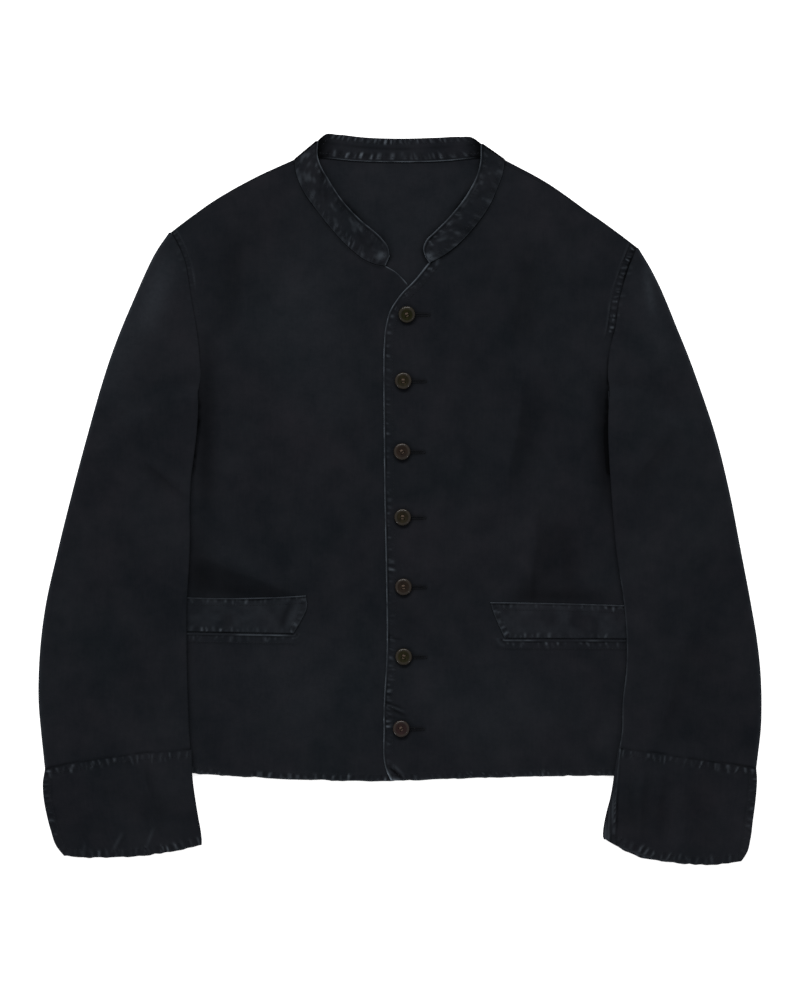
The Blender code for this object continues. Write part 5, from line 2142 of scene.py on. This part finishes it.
class JACKET_OT_stage(bpy.types.Operator):
    """Sets the floor, the soft lights and the camera straight above"""

    bl_idname = "jacket.stage"
    bl_label = "Stage"

    def execute(self, context):
        stage = context.scene.jacket_stage
        deselect_all()
        bpy.ops.mesh.primitive_plane_add(size=FLOOR_SIZE, location=(0.0, 0.0, FLOOR_Z))
        floor = context.object
        bpy.ops.object.transform_apply(location=True, rotation=True, scale=True)
        floor.name = "floor"
        floor.data.materials.append(floor_finish())
        world = bpy.data.worlds.new("studio")
        world.use_nodes = True
        background = world.node_tree.nodes["Background"]
        background.inputs["Color"].default_value = (1.0, 1.0, 1.0, 1.0)
        background.inputs["Strength"].default_value = stage.sky
        context.scene.world = world
        for lamp in LAMPS:
            area = bpy.data.lights.new(lamp.name, "AREA")
            area.shape = "RECTANGLE"
            area.size, area.size_y = lamp.size
            area.energy = stage.key * lamp.share
            light = bpy.data.objects.new(lamp.name, area)
            light.location = lamp.place
            light.rotation_euler = (-Vector(lamp.place)).to_track_quat("-Z", "Y").to_euler()
            context.scene.collection.objects.link(light)
        lens = bpy.data.cameras.new("camera")
        lens.type = "PERSP"
        lens.sensor_width = SENSOR_WIDTH
        lens.lens = lens.sensor_width * stage.camera_height / stage.view_height
        lens.clip_end = 100.0
        camera = bpy.data.objects.new("camera", lens)
        camera.location = (0.0, CAMERA_Y, stage.camera_height + JACKET_MIDDLE_Z)
        context.scene.collection.objects.link(camera)
        context.scene.camera = camera
        context.scene.view_settings.view_transform = "Standard"
        context.scene.view_settings.look = "None"
        return {"FINISHED"}


class JACKET_PT_sidebar(bpy.types.Panel):
    """Lists the steps that dress the jacket"""

    bl_idname = "JACKET_PT_sidebar"
    bl_label = "Jacket"
    bl_space_type = "VIEW_3D"
    bl_region_type = "UI"
    bl_category = "Jacket"

    def draw(self, context):
        scene = context.scene
        for title, group in (
            ("Cloth", scene.jacket_cloth),
            ("Sewing", scene.jacket_sewing),
            ("Buttons", scene.jacket_buttons),
            ("Stage", scene.jacket_stage),
        ):
            box = self.layout.box()
            box.label(text=title)
            for name in group.__annotations__:
                box.prop(group, name)
        for step in STEPS:
            self.layout.operator(step.bl_idname)


GROUPS = {
    "jacket_cloth": JacketCloth,
    "jacket_sewing": JacketSewing,
    "jacket_buttons": JacketButtons,
    "jacket_stage": JacketStage,
}
STEPS = (
    JACKET_OT_stage,
    JACKET_OT_back,
    JACKET_OT_fronts,
    JACKET_OT_sleeves,
    JACKET_OT_cuffs,
    JACKET_OT_collar,
    JACKET_OT_welts,
    JACKET_OT_buttons,
    JACKET_OT_buttonholes,
    JACKET_OT_stitching,
)


def register():
    """Registers the settings, the steps and the panel."""
    for group in GROUPS.values():
        bpy.utils.register_class(group)
    for name, group in GROUPS.items():
        setattr(bpy.types.Scene, name, PointerProperty(type=group))
    for step in STEPS:
        bpy.utils.register_class(step)
    bpy.utils.register_class(JACKET_PT_sidebar)


def unregister():
    """Takes everything out again."""
    bpy.utils.unregister_class(JACKET_PT_sidebar)
    for step in reversed(STEPS):
        bpy.utils.unregister_class(step)
    for name in GROUPS:
        delattr(bpy.types.Scene, name)
    for group in reversed(list(GROUPS.values())):
        bpy.utils.unregister_class(group)


def main():
    """Dresses the jacket step by step."""
    register()
    bpy.ops.jacket.stage()
    bpy.ops.jacket.back()
    bpy.ops.jacket.fronts()
    bpy.ops.jacket.sleeves()
    bpy.ops.jacket.cuffs()
    bpy.ops.jacket.collar()
    bpy.ops.jacket.welts()
    bpy.ops.jacket.buttons()
    bpy.ops.jacket.buttonholes()
    bpy.ops.jacket.stitching()


if __name__ == "__main__":
    main()
